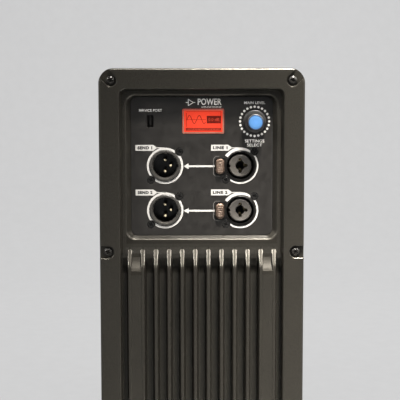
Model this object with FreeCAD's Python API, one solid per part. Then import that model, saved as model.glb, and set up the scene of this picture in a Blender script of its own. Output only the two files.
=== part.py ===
import FreeCAD, Part
import math
import os

# Plate amplifier module for the back of a loudspeaker cabinet. All sizes in millimetres.
# X to the right as seen from outside, Y into the cabinet, Z up.
# The origin is the centre of the screw pattern on the cabinet surface, which is the back of the gasket.

# depth levels, front to back
FLANGE_FRONT = -8.0
SCREW_LAND = -5.2
SUNK_FRONT = -2.5
FLANGE_BACK = -2.0
CABINET_SURFACE = 0.0
PANEL_FRONT = 2.0
PANEL_BACK = 5.0
SINK_BACK = 9.0
RIB_BACK = 14.0
CONTROL_BOARD_FRONT = 14.0
POWER_BOARD_FRONT = 22.0
IO_BOARD_FRONT = 36.0
DSP_BOARD_FRONT = 50.0
COVER_BACK = 68.0
BOARD = 1.6
FILM = 0.4
FILM_FRONT = PANEL_FRONT - FILM

# flange and casting outline, each as x low, x high, z low, z high, corner radius
PLATE = (-68.0, 68.0, -180.0, 180.0, 10.0)
PAN = (-55.5, 55.5, -168.0, 168.0, 5.0)
OPENING_FRONT = (-54.5, 54.5, -166.6, 166.6, 4.6)
OPENING_BACK = (-52.7, 52.7, -164.8, 164.8, 3.4)
CONTROL_RIM = (-50.4, 50.4, 66.0, 162.1, 6.2)
CONTROL_FLOOR = (-47.3, 47.3, 68.2, 160.9, 4.2)
MAINS_RIM = (-50.4, 50.4, -162.1, -107.8, 6.2)
MAINS_FLOOR = (-47.3, 47.3, -160.9, -110.0, 4.2)
# the two plates let into the back of the casting, each held by a tongue at one end and screws at the other
PLATE_HALF_X = 49.2
CONTROL_PLATE = (-PLATE_HALF_X, PLATE_HALF_X, 60.4, 164.2, 2.0)
MAINS_PLATE = (-PLATE_HALF_X, PLATE_HALF_X, -164.2, -102.2, 2.0)
PLATE_GAP = 0.1
PLATE_SCREW_X = (-38.0, -12.5, 12.5, 38.0)
CONTROL_PLATE_SCREW_Z = 63.6
MAINS_PLATE_SCREW_Z = -105.4
PLATE_SCREW_R = 1.25
PLATE_SCREW_HEAD_R = 2.3
PLATE_SCREW_TIP = -0.8
SCREW_FIT = 0.05
FILM_INSET = 0.2
EDGE_ROUND = 1.6
RIM_ROUND = 0.9
POCKET_ROUND = 1.5

# cooling fins
FIN_COUNT = 12
FIN_PITCH = 8.77
FIN_CREST = 1.9
FIN_DRAFT = 0.14
FIN_ROUND = 0.5
FIN_HEAD_TOP = 59.3
FIN_CREST_TOP = 47.9
FIN_FOOT = -101.0
BRIDGE_SINK = 0.35
SCOOP_CREST_TOP = 45.2
SCOOP_HEAD_TOP = 54.0
SCOOP_SAG = 0.9
GROOVE_HEAD_TOP = 57.0
GROOVE_FLOOR_TOP = 45.0
GROOVE_SWELL = 5.5
TRENCH_HALF = 53.9
FIN_MIDDLE = (FIN_HEAD_TOP + FIN_FOOT) / 2

# perimeter rib and rear cover
RIB_HALF_X = 53.3
RIB_HALF_Z = 165.7
RIB_WALL = 3.0
COVER_GAP = 0.3
COVER_WALL = 1.5
COVER_CORNER = 4.0
COVER_BEND = 2.2
COVER_BEADS = (-30.0, 0.0, 30.0)
BEAD_WIDTH = 9.0
BEAD_HEIGHT = 1.0
BEAD_LOW = -118.0
BEAD_HIGH = 150.0
COVER_SCREW_Y = 10.0
COVER_SCREW_ROWS = (-140.0, -70.0, 0.0, 70.0, 140.0)
COVER_SCREW_HEAD_R = 2.6
COVER_SCREW_HEAD = 1.1
COVER_THREAD_R = 1.3

# flange screws
SCREW_OUTER_X = 60.0
SCREW_OUTER_Z = 172.0
SCREW_INNER_X = 62.5
SCREW_INNER_Z = 58.0
SCREW_THREAD_R = 2.0
SCREW_NECK_R = 2.2
SCREW_HOLE_R = 2.35
SCREW_HEAD_R = 3.0
SCREW_HEAD = 2.1
SCREW_TIP = 22.0
SCREW_POCKET_R = 4.0
SCREW_POCKET_BEVEL = 0.45

# gasket
GASKET_OUTER = (-67.0, 67.0, -179.0, 179.0, 9.0)
GASKET_INNER = (-56.5, 56.5, -169.0, 169.0, 5.5)
GASKET_HOLE_R = 2.6

# display
DISPLAY_X = 1.05
DISPLAY_Z = 144.7
DISPLAY_W = 27.8
DISPLAY_H = 16.4
DISPLAY_CELL_W = 34.0
DISPLAY_CELL_H = 23.0
DISPLAY_FRAME = 1.2

# rotary push knob and encoder
KNOB_X = 35.3
KNOB_Z = 144.6
KNOB_BASE_R = 7.6
KNOB_TOP_R = 5.5
KNOB_BASE_Y = 0.2
KNOB_TOP_Y = -12.8
KNOB_CAP_R = 4.4
KNOB_CAP_DEPTH = 2.4
KNOB_TRAVEL = 0.8
SHAFT_R = 2.5
BUSHING_BORE_R = 2.8
BUSHING_R = 3.5
BUSHING_FRONT = 0.9
ENCODER_HALF = 6.75
SHAFT_TAIL = 4.0
ROTOR_BORE = 4.6

# service socket
SERVICE_X = -34.25
SERVICE_Z = 144.75
SERVICE_W = 4.6
SERVICE_H = 8.6

# signal connectors
OUTPUT_X = -24.5
INPUT_X = 25.8
CONNECTOR_ROWS = (115.0, 85.0)
CONNECTOR_SCREW = 9.6
CONNECTOR_FLANGE = 13.0
CONNECTOR_FLANGE_T = 2.5
NOSE_FRONT = 0.8
PIN_CIRCLE_R = 3.81
OUTPUT_NOSE_R = 10.6
OUTPUT_BORE_R = 8.1
OUTPUT_BORE_BACK = 18.0
INPUT_NOSE_R = 9.9
INPUT_BORE_R = 9.1
INPUT_BORE_BACK = 20.0
INSERT_R = 7.7
INSERT_FRONT = 1.6
INSERT_DISH = 1.1
JACK_R = 3.2
JACK_BACK = 34.0
CONTACT_R = 1.2
CONTACT_FRONT = 11.0
LATCH = (-16.4, -10.7, -5.5, 4.7, 2.5)
LATCH_GUIDE = (-17.05, -8.0, -6.15, 5.35, 2.8)
LATCH_FRONT = -1.2
LATCH_GAP = 0.3
CONNECTOR_SCREW_HEAD_R = 2.5
CONNECTOR_SCREW_R = 1.35

# mains section
MAINS_Z = -135.0
MAINS_X = 30.0
MAINS_NOSE_R = 12.2
MAINS_BORE_R = 10.0
MAINS_CORE_R = 6.4
MAINS_FRONT = -0.6
MAINS_BORE_BACK = 19.0
MAINS_BACK = 27.0
MAINS_SCREW_X = 9.5
MAINS_SCREW_Z = 12.0
CONTACT_ANGLES = (90, 210, 330)
SWITCH_HALF_X = 7.5
SWITCH_HALF_Z = 12.0
SWITCH_CAVITY_X = 5.9
SWITCH_CAVITY_Z = 10.2
SWITCH_PIVOT_Y = 4.0
ROCKER_HALF_X = 5.4
ROCKER_TILT = 12.0

# power section
TRANSISTOR_X = (-36.0, -12.0, 12.0, 36.0)
TRANSISTOR_ROWS = (24.0, -48.0)
TRANSISTOR_W = 15.6
TRANSISTOR_H = 20.0
TRANSISTOR_T = 5.0
PAD_T = 0.3
CLAMP_T = 2.5
CLAMP_SCREW_X = (-24.0, 0.0, 24.0)
CAPACITOR_R = 12.5
CAPACITOR_L = 35.0
CAPACITORS = ((-32.0, -44.0), (-32.0, -16.0), (-5.0, -44.0), (-5.0, -16.0))
INDUCTORS = ((-26.0, 30.0), (26.0, 30.0))
TRANSFORMER_X = 28.0
TRANSFORMER_Z = -30.0
CHOKE_X = -26.0
CHOKE_Z = -82.0
POWER_BOARD = (-47.0, 47.0, -103.0, 57.0, 2.0)
IO_BOARD = (-48.5, 48.5, 70.0, 131.5, 2.0)
CONTROL_BOARD = (-48.5, 48.5, 132.6, 160.5, 2.0)
DSP_BOARD = (-48.5, 48.5, 70.0, 131.5, 2.0)
POWER_STANDOFFS = (
    (-43.0, -97.0),
    (43.0, -97.0),
    (-43.0, 6.0),
    (43.0, 6.0),
    (-43.0, 51.0),
    (43.0, 51.0),
)
IO_STANDOFFS = ((-45.0, 74.0), (45.0, 74.0), (-45.0, 127.5), (45.0, 127.5))
CONTROL_STANDOFFS = ((-45.0, 136.2), (45.5, 156.8), (-45.0, 156.8))
STANDOFF_R = 2.9
STANDOFF_BORE_R = 1.3
BOARD_SCREW_R = 1.2
BOARD_HOLE_R = 1.7


def vec(x, y, z):
    return FreeCAD.Vector(x, y, z)


def box(x0, x1, y0, y1, z0, z1):
    return Part.makeBox(x1 - x0, y1 - y0, z1 - z0, vec(x0, y0, z0))


def rod(r, x, z, y0, y1):
    """A round bar along Y."""
    return Part.makeCylinder(r, y1 - y0, vec(x, y0, z), vec(0, 1, 0))


def cross_rod(r, half, y, z):
    """A round bar along X, centred on x = 0."""
    return Part.makeCylinder(r, 2 * half, vec(-half, y, z), vec(1, 0, 0))


def outline(rect, y):
    """A rectangle with round corners, standing across Y."""
    x0, x1, z0, z1, r = rect
    centres = ((x1 - r, z1 - r), (x0 + r, z1 - r), (x0 + r, z0 + r), (x1 - r, z0 + r))
    edges = []
    last = None
    first = None
    for quarter, (cx, cz) in enumerate(centres):
        ends = []
        for step in range(3):
            angle = math.radians(90 * quarter + 45 * step)
            ends.append(vec(cx + r * math.cos(angle), y, cz + r * math.sin(angle)))
        if last is not None:
            edges.append(Part.makeLine(last, ends[0]))
        else:
            first = ends[0]
        edges.append(Part.Arc(*ends).toShape())
        last = ends[2]
    edges.append(Part.makeLine(last, first))
    return Part.Wire(edges)


def slab(rect, y0, y1):
    return Part.Face(outline(rect, y0)).extrude(vec(0, y1 - y0, 0))


def funnel(rect0, y0, rect1, y1):
    """A block that changes from one rounded rectangle to another."""
    return Part.makeLoft([outline(rect0, y0), outline(rect1, y1)], True, True)


def grown(rect, by):
    x0, x1, z0, z1, r = rect
    return (x0 - by, x1 + by, z0 - by, z1 + by, r + by)


def moved(rect, x, z):
    x0, x1, z0, z1, r = rect
    return (x0 + x, x1 + x, z0 + z, z1 + z, r)


def around(x, z, width, height, r):
    return (x - width / 2, x + width / 2, z - height / 2, z + height / 2, r)


def turned(profile, x, z):
    """A turned solid about the Y line through x, z. The profile holds radius and depth pairs."""
    points = [vec(x + r, y, z) for r, y in profile]
    face = Part.Face(Part.makePolygon(points + points[:1]))
    return face.revolve(vec(x, 0, z), vec(0, 1, 0), 360)


def side_profile(points, x0, x1):
    """A prism along X whose section holds depth and height pairs."""
    wire = [vec(x0, y, z) for y, z in points]
    return Part.Face(Part.makePolygon(wire + wire[:1])).extrude(vec(x1 - x0, 0, 0))


def plan_profile(points, z0, z1):
    """A prism along Z whose section holds width and depth pairs."""
    wire = [vec(x, y, z0) for x, y in points]
    return Part.Face(Part.makePolygon(wire + wire[:1])).extrude(vec(0, 0, z1 - z0))


def tube(inner, outer, x, z, y0, y1):
    return turned([(inner, y0), (outer, y0), (outer, y1), (inner, y1)], x, z)


def hexagon(r, x, z, y0, y1):
    """A hexagonal bar along Y with flats at distance r."""
    points = []
    for side in range(6):
        angle = math.radians(60 * side + 30)
        reach = r / math.cos(math.radians(30))
        points.append(vec(x + reach * math.cos(angle), y0, z + reach * math.sin(angle)))
    return Part.Face(Part.makePolygon(points + points[:1])).extrude(vec(0, y1 - y0, 0))


def edges_on_level(shape, y, rect, margin):
    """Edges that lie at one depth inside a rectangle."""
    x0, x1, z0, z1, r = rect
    found = []
    for edge in shape.Edges:
        b = edge.BoundBox
        level = abs(b.YMin - y) < 1e-4 and abs(b.YMax - y) < 1e-4
        wide = b.XMin > x0 - margin and b.XMax < x1 + margin
        high = b.ZMin > z0 - margin and b.ZMax < z1 + margin
        if level and wide and high:
            found.append(edge)
    return found


def join(shapes):
    return shapes[0].multiFuse(shapes[1:]).removeSplitter()


def flange_screw_points():
    outer = [(sx * SCREW_OUTER_X, sz * SCREW_OUTER_Z) for sx in (-1, 1) for sz in (-1, 1)]
    inner = [(sx * SCREW_INNER_X, sz * SCREW_INNER_Z) for sx in (-1, 1) for sz in (-1, 1)]
    return outer, inner


def connector_screw_points():
    points = []
    for x in (OUTPUT_X, INPUT_X):
        for z in CONNECTOR_ROWS:
            points.append((x + CONNECTOR_SCREW, z + CONNECTOR_SCREW))
            points.append((x - CONNECTOR_SCREW, z - CONNECTOR_SCREW))
    return points


def mains_screw_points():
    points = []
    for x in (-MAINS_X, MAINS_X):
        points.append((x + MAINS_SCREW_X, MAINS_Z + MAINS_SCREW_Z))
        points.append((x - MAINS_SCREW_X, MAINS_Z - MAINS_SCREW_Z))
    return points


def clamp_screw_points():
    return [(x, z) for x in CLAMP_SCREW_X for z in TRANSISTOR_ROWS]


def casting_blank():
    """Flange and pan with the stepped opening, all visible rims rounded."""
    blank = join([slab(PLATE, FLANGE_FRONT, FLANGE_BACK), slab(PAN, FLANGE_BACK - 1, PANEL_BACK)])
    blank = blank.cut(funnel(OPENING_FRONT, FLANGE_FRONT, OPENING_BACK, SUNK_FRONT))
    blank = blank.cut(funnel(CONTROL_RIM, SUNK_FRONT, CONTROL_FLOOR, PANEL_FRONT))
    blank = blank.cut(funnel(MAINS_RIM, SUNK_FRONT, MAINS_FLOOR, PANEL_FRONT))
    outer = edges_on_level(blank, FLANGE_FRONT, PLATE, 0.1)
    inner = edges_on_level(blank, FLANGE_FRONT, OPENING_FRONT, 0.1)
    outer = [e for e in outer if not any(e.isSame(i) for i in inner)]
    blank = blank.makeFillet(EDGE_ROUND, outer)
    blank = blank.makeFillet(RIM_ROUND, edges_on_level(blank, FLANGE_FRONT, OPENING_FRONT, 0.1))
    for rim in (CONTROL_RIM, MAINS_RIM):
        blank = blank.makeFillet(POCKET_ROUND, edges_on_level(blank, SUNK_FRONT, rim, 0.1))
    return blank


def fin_pocket():
    """The room around the fins. Its floor swells up to the sunk surface at both ends."""
    curves = []
    tops = []
    for mirrored in (False, True):
        poles = [
            (SUNK_FRONT, GROOVE_HEAD_TOP),
            (SUNK_FRONT, GROOVE_HEAD_TOP - GROOVE_SWELL),
            (PANEL_FRONT, GROOVE_FLOOR_TOP + GROOVE_SWELL),
            (PANEL_FRONT, GROOVE_FLOOR_TOP),
        ]
        if mirrored:
            poles = [(y, 2 * FIN_MIDDLE - z) for y, z in poles]
        points = [vec(-TRENCH_HALF, y, z) for y, z in poles]
        curve = Part.BezierCurve()
        curve.setPoles(points)
        curves.append(curve.toShape())
        tops.append((points[0], points[-1]))
    sides = [Part.makeLine(tops[0][0], tops[1][0]), Part.makeLine(tops[0][1], tops[1][1])]
    wire = Part.Wire(Part.sortEdges(curves + sides)[0])
    floor = Part.Face(wire).extrude(vec(2 * TRENCH_HALF, 0, 0))
    low = 2 * FIN_MIDDLE - GROOVE_HEAD_TOP
    mouth = box(-TRENCH_HALF, TRENCH_HALF, SUNK_FRONT - 3.0, SUNK_FRONT, low, GROOVE_HEAD_TOP)
    return floor.fuse(mouth)


def scoop_cutter(x0, x1, mirrored):
    """Everything in front of the hollow end of a side bar."""
    rise = SUNK_FRONT - FLANGE_FRONT - BRIDGE_SINK
    run = SCOOP_HEAD_TOP - SCOOP_CREST_TOP
    length = math.hypot(rise, run)
    middle_y = (SUNK_FRONT + FLANGE_FRONT + BRIDGE_SINK) / 2 + SCOOP_SAG * run / length
    middle_z = (SCOOP_HEAD_TOP + SCOOP_CREST_TOP) / 2 - SCOOP_SAG * rise / length
    beyond = FIN_HEAD_TOP + 20.0
    front = FLANGE_FRONT - 2.0
    path = [
        (FLANGE_FRONT + BRIDGE_SINK, SCOOP_CREST_TOP),
        (middle_y, middle_z),
        (SUNK_FRONT, SCOOP_HEAD_TOP),
        (SUNK_FRONT, beyond),
        (front, beyond),
        (front, SCOOP_CREST_TOP),
    ]
    if mirrored:
        path = [(y, 2 * FIN_MIDDLE - z) for y, z in path]
    points = [vec(x0, y, z) for y, z in path]
    edges = [Part.Arc(*points[:3]).toShape()]
    for a, b in zip(points[2:], points[3:] + points[:1]):
        edges.append(Part.makeLine(a, b))
    return Part.Face(Part.Wire(edges)).extrude(vec(x1 - x0, 0, 0))


def ramp_cutter(crest_top, head_top, x0, x1, mirrored):
    """Everything in front of the sloped end of a fin."""
    slope = (head_top - crest_top) / (SUNK_FRONT - FLANGE_FRONT)
    reach = 12.0
    points = [
        (FLANGE_FRONT - 1.0, crest_top - slope),
        (SUNK_FRONT + reach, head_top + slope * reach),
        (FLANGE_FRONT - 1.0, head_top + slope * reach),
    ]
    if mirrored:
        points = [(y, 2 * FIN_MIDDLE - z) for y, z in points]
    return side_profile(points, x0, x1)


def fin(x, half_crest, crest_top, head_top):
    """One drafted fin with sloped ends and rounded crest edges."""
    half_root = half_crest + FIN_DRAFT * (PANEL_FRONT - FLANGE_FRONT)
    section = [
        (x - half_crest, FLANGE_FRONT),
        (x + half_crest, FLANGE_FRONT),
        (x + half_root, PANEL_FRONT),
        (x + half_root, PANEL_FRONT + 1.0),
        (x - half_root, PANEL_FRONT + 1.0),
        (x - half_root, PANEL_FRONT),
    ]
    length_over = 12.0
    solid = plan_profile(section, FIN_FOOT - length_over, FIN_HEAD_TOP + length_over)
    for mirrored in (False, True):
        solid = solid.cut(ramp_cutter(crest_top, head_top, x - half_root - 1, x + half_root + 1, mirrored))
    crest_ends = []
    long_edges = []
    for edge in solid.Edges:
        b = edge.BoundBox
        if b.YMax < FLANGE_FRONT + 1e-4 and b.ZMax - b.ZMin < 1e-4:
            crest_ends.append(edge)
    solid = solid.makeFillet(6.0, crest_ends)
    for edge in solid.Edges:
        b = edge.BoundBox
        slanted = b.YMin < SUNK_FRONT and b.ZMax - b.ZMin > 1.0
        front = b.YMax < PANEL_FRONT - 0.01 or b.XMax - b.XMin < 2 * half_root - 0.1
        at_root = b.YMin > SUNK_FRONT
        if slanted and front and not at_root:
            long_edges.append(edge)
    return solid, long_edges


def rounded_fin(x, half_crest, crest_top, head_top):
    """A fin whose two ends are also rounded off in plan."""
    solid, edges = fin(x, half_crest, crest_top, head_top)
    half = half_crest + FIN_DRAFT * (SUNK_FRONT - FLANGE_FRONT) + 0.01
    nose = slab((x - half, x + half, FIN_FOOT, head_top, half - 0.01), FLANGE_FRONT - 1, SUNK_FRONT)
    root = box(x - 5, x + 5, SUNK_FRONT, PANEL_FRONT + 2, FIN_FOOT - 1, head_top + 1)
    return solid.makeFillet(FIN_ROUND, edges).common(nose.fuse(root))


def fin_bank():
    """All fins. The two outer fins of each side are bridged into one wide bar with a scoop in its end."""
    shapes = []
    half = FIN_CREST / 2
    for number in range(FIN_COUNT):
        x = (number - (FIN_COUNT - 1) / 2) * FIN_PITCH
        shapes.append(rounded_fin(x, half, FIN_CREST_TOP, FIN_HEAD_TOP))
    outer_x = (FIN_COUNT - 1) / 2 * FIN_PITCH
    for side in (-1, 1):
        ends = sorted((side * outer_x, side * (outer_x - FIN_PITCH)))
        front = FLANGE_FRONT + BRIDGE_SINK
        bridge = box(ends[0], ends[1], front, PANEL_FRONT + 1.0, FIN_FOOT - 12.0, FIN_HEAD_TOP + 12.0)
        for mirrored in (False, True):
            bridge = bridge.cut(scoop_cutter(ends[0] - 1, ends[1] + 1, mirrored))
        shapes.append(bridge)
    return shapes


def fin_limits():
    """Keeps the fins' buried ends inside the casting."""
    return box(-TRENCH_HALF, TRENCH_HALF, FLANGE_FRONT - 1, PANEL_BACK - 1, FIN_FOOT, FIN_HEAD_TOP)


def perimeter_rib():
    outer = (-RIB_HALF_X, RIB_HALF_X, -RIB_HALF_Z, RIB_HALF_Z, COVER_CORNER)
    inner = grown(outer, -RIB_WALL)
    return slab(outer, PANEL_BACK - 1, RIB_BACK).cut(slab(inner, PANEL_BACK - 2, RIB_BACK + 1))


def screw_pocket(x, z, angle):
    """Counterbore at a flange screw, open towards the edge of the flange, with a bevelled rim."""
    bevel = SCREW_POCKET_BEVEL
    wide = SCREW_POCKET_R + bevel
    front = FLANGE_FRONT - bevel
    profile = [
        (0, front),
        (wide + bevel, front),
        (SCREW_POCKET_R, FLANGE_FRONT + bevel),
        (SCREW_POCKET_R, SCREW_LAND),
        (0, SCREW_LAND),
    ]
    reach = 20.0
    section = [(front, -wide - bevel), (front, wide + bevel), (FLANGE_FRONT + bevel, SCREW_POCKET_R)]
    section += [(SCREW_LAND, SCREW_POCKET_R), (SCREW_LAND, -SCREW_POCKET_R)]
    section.append((FLANGE_FRONT + bevel, -SCREW_POCKET_R))
    slot = side_profile(section, 0, reach)
    slot.rotate(vec(0, 0, 0), vec(0, -1, 0), angle)
    slot.translate(vec(x, 0, z))
    return turned(profile, x, z).fuse(slot)


def flange_cutters():
    cutters = []
    outer, inner = flange_screw_points()
    for x, z in outer:
        cutters.append(screw_pocket(x, z, corner_angle(x, z)))
    for x, z in inner:
        cutters.append(screw_pocket(x, z, 0 if x > 0 else 180))
    for x, z in outer + inner:
        cutters.append(rod(SCREW_HOLE_R, x, z, FLANGE_FRONT, PANEL_BACK))
    return cutters


def corner_angle(x, z):
    """Direction from a corner screw to its corner, in degrees from +X towards +Z."""
    return math.degrees(math.atan2(math.copysign(1, z), math.copysign(1, x)))


def countersink(x, z, extra):
    head = CONNECTOR_SCREW_HEAD_R + extra
    shank = CONNECTOR_SCREW_R + extra
    cone = Part.makeCone(head, shank, head - shank, vec(x, PANEL_FRONT, z), vec(0, 1, 0))
    return cone.fuse(rod(shank, x, z, PANEL_FRONT, PANEL_BACK + 0.5))


def control_cutters():
    """Holes through the control plate."""
    front = PANEL_FRONT - 1.0
    back = PANEL_BACK + 1.0
    cutters = [slab(around(DISPLAY_X, DISPLAY_Z, DISPLAY_W, DISPLAY_H, 0.8), front, back)]
    cutters.append(rod(BUSHING_R + 0.1, KNOB_X, KNOB_Z, front, back))
    cutters.append(slab(around(SERVICE_X, SERVICE_Z, SERVICE_W, SERVICE_H, 0.8), front, back))
    for z in CONNECTOR_ROWS:
        cutters.append(rod(OUTPUT_NOSE_R + 0.12, OUTPUT_X, z, front, back))
        cutters.append(rod(INPUT_NOSE_R + 0.12, INPUT_X, z, front, back))
        cutters.append(slab(grown(moved(LATCH_GUIDE, INPUT_X, z), 0.12), front, back))
    for x, z in connector_screw_points():
        cutters.append(countersink(x, z, 0.06))
    return cutters


def mains_cutters():
    """Holes through the mains plate."""
    front = PANEL_FRONT - 1.0
    back = PANEL_BACK + 1.0
    cutters = [rod(MAINS_NOSE_R + 0.12, x, MAINS_Z, front, back) for x in (-MAINS_X, MAINS_X)]
    frame = around(0, MAINS_Z, 2 * SWITCH_HALF_X + 0.2, 2 * SWITCH_HALF_Z + 0.2, 1.1)
    cutters.append(slab(frame, front, back))
    for x, z in mains_screw_points():
        cutters.append(countersink(x, z, 0.06))
    return cutters


def plate_screw_points():
    rows = (CONTROL_PLATE_SCREW_Z, MAINS_PLATE_SCREW_Z)
    return [(x, z) for x in PLATE_SCREW_X for z in rows]


def rear_countersink(x, z):
    """Hole for a plate screw, its cone opening towards the back of the plate."""
    head = PLATE_SCREW_HEAD_R + SCREW_FIT
    shank = PLATE_SCREW_R + SCREW_FIT
    depth = head - shank
    cone = Part.makeCone(shank, head, depth, vec(x, PANEL_BACK - depth, z), vec(0, 1, 0))
    return cone.fuse(rod(shank, x, z, PANEL_FRONT - 0.5, PANEL_BACK))


def control_plate():
    """The flat plate behind the control pocket that carries display, knob and signal connectors."""
    sinks = [rear_countersink(x, CONTROL_PLATE_SCREW_Z) for x in PLATE_SCREW_X]
    return slab(CONTROL_PLATE, PANEL_FRONT, PANEL_BACK).cut(control_cutters() + sinks)


def mains_plate():
    """The flat plate behind the mains pocket."""
    sinks = [rear_countersink(x, MAINS_PLATE_SCREW_Z) for x in PLATE_SCREW_X]
    return slab(MAINS_PLATE, PANEL_FRONT, PANEL_BACK).cut(mains_cutters() + sinks)


def plate_screw(x, z):
    """Countersunk screw put in from behind, flush with the back of the plate."""
    head = PLATE_SCREW_HEAD_R
    shank = PLATE_SCREW_R
    profile = [
        (0, PLATE_SCREW_TIP),
        (shank, PLATE_SCREW_TIP),
        (shank, PANEL_BACK - head + shank),
        (head, PANEL_BACK),
        (0, PANEL_BACK),
    ]
    return turned(profile, x, z).cut(hexagon(0.9, x, z, PANEL_BACK - 1.2, PANEL_BACK + 1))


def plate_screws():
    return Part.makeCompound([plate_screw(x, z) for x, z in plate_screw_points()])


def plate_rebates():
    """The two seats for the plates, cut from the back and running in under the end walls of the rib."""
    seats = (CONTROL_PLATE, MAINS_PLATE)
    return [slab(grown(seat, PLATE_GAP), PANEL_FRONT, PANEL_BACK + PLATE_GAP) for seat in seats]


def heatsink_chassis():
    body = casting_blank()
    sink_block = box(-50.3, 50.3, PANEL_FRONT + 0.5, SINK_BACK, FIN_FOOT, FIN_HEAD_TOP)
    body = body.fuse([perimeter_rib(), sink_block])
    body = body.cut([fin_pocket()] + plate_rebates())
    fins = fin_bank()
    limits = fin_limits()
    body = body.fuse([f.common(limits) for f in fins])
    body = body.cut(flange_cutters())
    holes = [rod(1.5, x, z, 3.5, SINK_BACK + 1) for x, z in clamp_screw_points()]
    holes += [rod(STANDOFF_BORE_R, x, z, 4.0, SINK_BACK + 1) for x, z in POWER_STANDOFFS]
    for x, z in plate_screw_points():
        holes.append(rod(PLATE_SCREW_R + SCREW_FIT, x, z, PLATE_SCREW_TIP - 0.2, PANEL_FRONT + 0.5))
    for z in COVER_SCREW_ROWS:
        for side in (-1, 1):
            start = vec(side * (RIB_HALF_X - RIB_WALL - 0.8), COVER_SCREW_Y, z)
            holes.append(Part.makeCylinder(COVER_THREAD_R, RIB_WALL + 2, start, vec(side, 0, 0)))
    return body.cut(holes).removeSplitter()


def flange_gasket():
    ring = slab(GASKET_OUTER, FLANGE_BACK, CABINET_SURFACE).cut(slab(GASKET_INNER, FLANGE_BACK - 1, 1))
    outer, inner = flange_screw_points()
    return ring.cut([rod(GASKET_HOLE_R, x, z, FLANGE_BACK - 1, 1) for x, z in outer + inner])


def control_overlay():
    film = slab(grown(CONTROL_FLOOR, -FILM_INSET), FILM_FRONT, PANEL_FRONT)
    holes = [slab(around(DISPLAY_X, DISPLAY_Z, DISPLAY_W, DISPLAY_H, 0.8), 0, 3)]
    holes.append(rod(BUSHING_R + 2.4, KNOB_X, KNOB_Z, 0, 3))
    holes.append(slab(around(SERVICE_X, SERVICE_Z, SERVICE_W, SERVICE_H, 0.8), 0, 3))
    for z in CONNECTOR_ROWS:
        holes.append(rod(OUTPUT_NOSE_R + 0.12, OUTPUT_X, z, 0, 3))
        holes.append(rod(INPUT_NOSE_R + 0.12, INPUT_X, z, 0, 3))
        holes.append(slab(grown(moved(LATCH_GUIDE, INPUT_X, z), 0.12), 0, 3))
    for x, z in connector_screw_points():
        holes.append(rod(CONNECTOR_SCREW_HEAD_R + 0.15, x, z, 0, 3))
    return film.cut(holes)


def mains_overlay():
    film = slab(grown(MAINS_FLOOR, -FILM_INSET), FILM_FRONT, PANEL_FRONT)
    holes = [rod(MAINS_NOSE_R + 0.12, x, MAINS_Z, 0, 3) for x in (-MAINS_X, MAINS_X)]
    frame = around(0, MAINS_Z, 2 * SWITCH_HALF_X + 0.2, 2 * SWITCH_HALF_Z + 0.2, 1.1)
    holes.append(slab(frame, 0, 3))
    for x, z in mains_screw_points():
        holes.append(rod(CONNECTOR_SCREW_HEAD_R + 0.15, x, z, 0, 3))
    return film.cut(holes)


def cross_recess(x, z, y, size, depth):
    """The tapering cross in a screw head, cut from the front face at y."""
    arms = []
    for turn in (0, 90):
        top = (-size / 2, size / 2, -size / 8, size / 8, size / 30)
        low = (-size / 4, size / 4, -size / 12, size / 12, size / 40)
        arm = funnel(top, -0.01, low, depth)
        arm.rotate(vec(0, 0, 0), vec(0, 1, 0), turn + 20)
        arm.translate(vec(x, y, z))
        arms.append(arm)
    return arms[0].fuse(arms[1])


def mounting_screw(x, z):
    top = SCREW_LAND - SCREW_HEAD
    profile = [
        (0, top),
        (SCREW_HEAD_R * 0.62, top + 0.12),
        (SCREW_HEAD_R * 0.88, top + 0.6),
        (SCREW_HEAD_R, top + 1.4),
        (SCREW_HEAD_R, SCREW_LAND),
        (SCREW_NECK_R, SCREW_LAND),
        (SCREW_NECK_R, CABINET_SURFACE),
        (SCREW_THREAD_R, CABINET_SURFACE),
        (SCREW_THREAD_R, SCREW_TIP - 1.0),
        (SCREW_THREAD_R - 1.0, SCREW_TIP),
        (0, SCREW_TIP),
    ]
    return turned(profile, x, z).cut(cross_recess(x, z, top, 3.7, 1.5))


def mounting_screws():
    outer, inner = flange_screw_points()
    return Part.makeCompound([mounting_screw(x, z) for x, z in outer + inner])


def lcd_window():
    rect = around(DISPLAY_X, DISPLAY_Z, DISPLAY_W - 0.1, DISPLAY_H - 0.1, 0.75)
    bevel = funnel(grown(rect, -0.35), FILM_FRONT - 0.25, rect, FILM_FRONT + 0.1)
    return bevel.fuse(slab(rect, FILM_FRONT + 0.1, PANEL_BACK)).removeSplitter()


def lcd_glass():
    rect = around(DISPLAY_X, DISPLAY_Z, DISPLAY_CELL_W, DISPLAY_CELL_H, 0.4)
    return slab(rect, PANEL_BACK, PANEL_BACK + 2.2)


def lcd_backlight():
    rect = around(DISPLAY_X, DISPLAY_Z, DISPLAY_CELL_W, DISPLAY_CELL_H, 0.4)
    return slab(rect, PANEL_BACK + 2.2, PANEL_BACK + 5.6)


def lcd_holder():
    """Sheet metal frame around the display cell, with feet on the control board."""
    cell = around(DISPLAY_X, DISPLAY_Z, DISPLAY_CELL_W + 0.2, DISPLAY_CELL_H + 0.2, 0.5)
    sleeve = slab(grown(cell, DISPLAY_FRAME), PANEL_BACK, PANEL_BACK + 5.6)
    sleeve = sleeve.cut(slab(cell, PANEL_BACK - 1, PANEL_BACK + 8))
    feet = []
    for dx in (-13.0, 13.0):
        for side in (-1, 1):
            z = DISPLAY_Z + side * (DISPLAY_CELL_H / 2 + 0.8)
            x = DISPLAY_X + dx
            feet.append(box(x - 1.5, x + 1.5, PANEL_BACK + 5.0, CONTROL_BOARD_FRONT, z - 0.4, z + 0.4))
    return join([sleeve] + feet)


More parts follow.
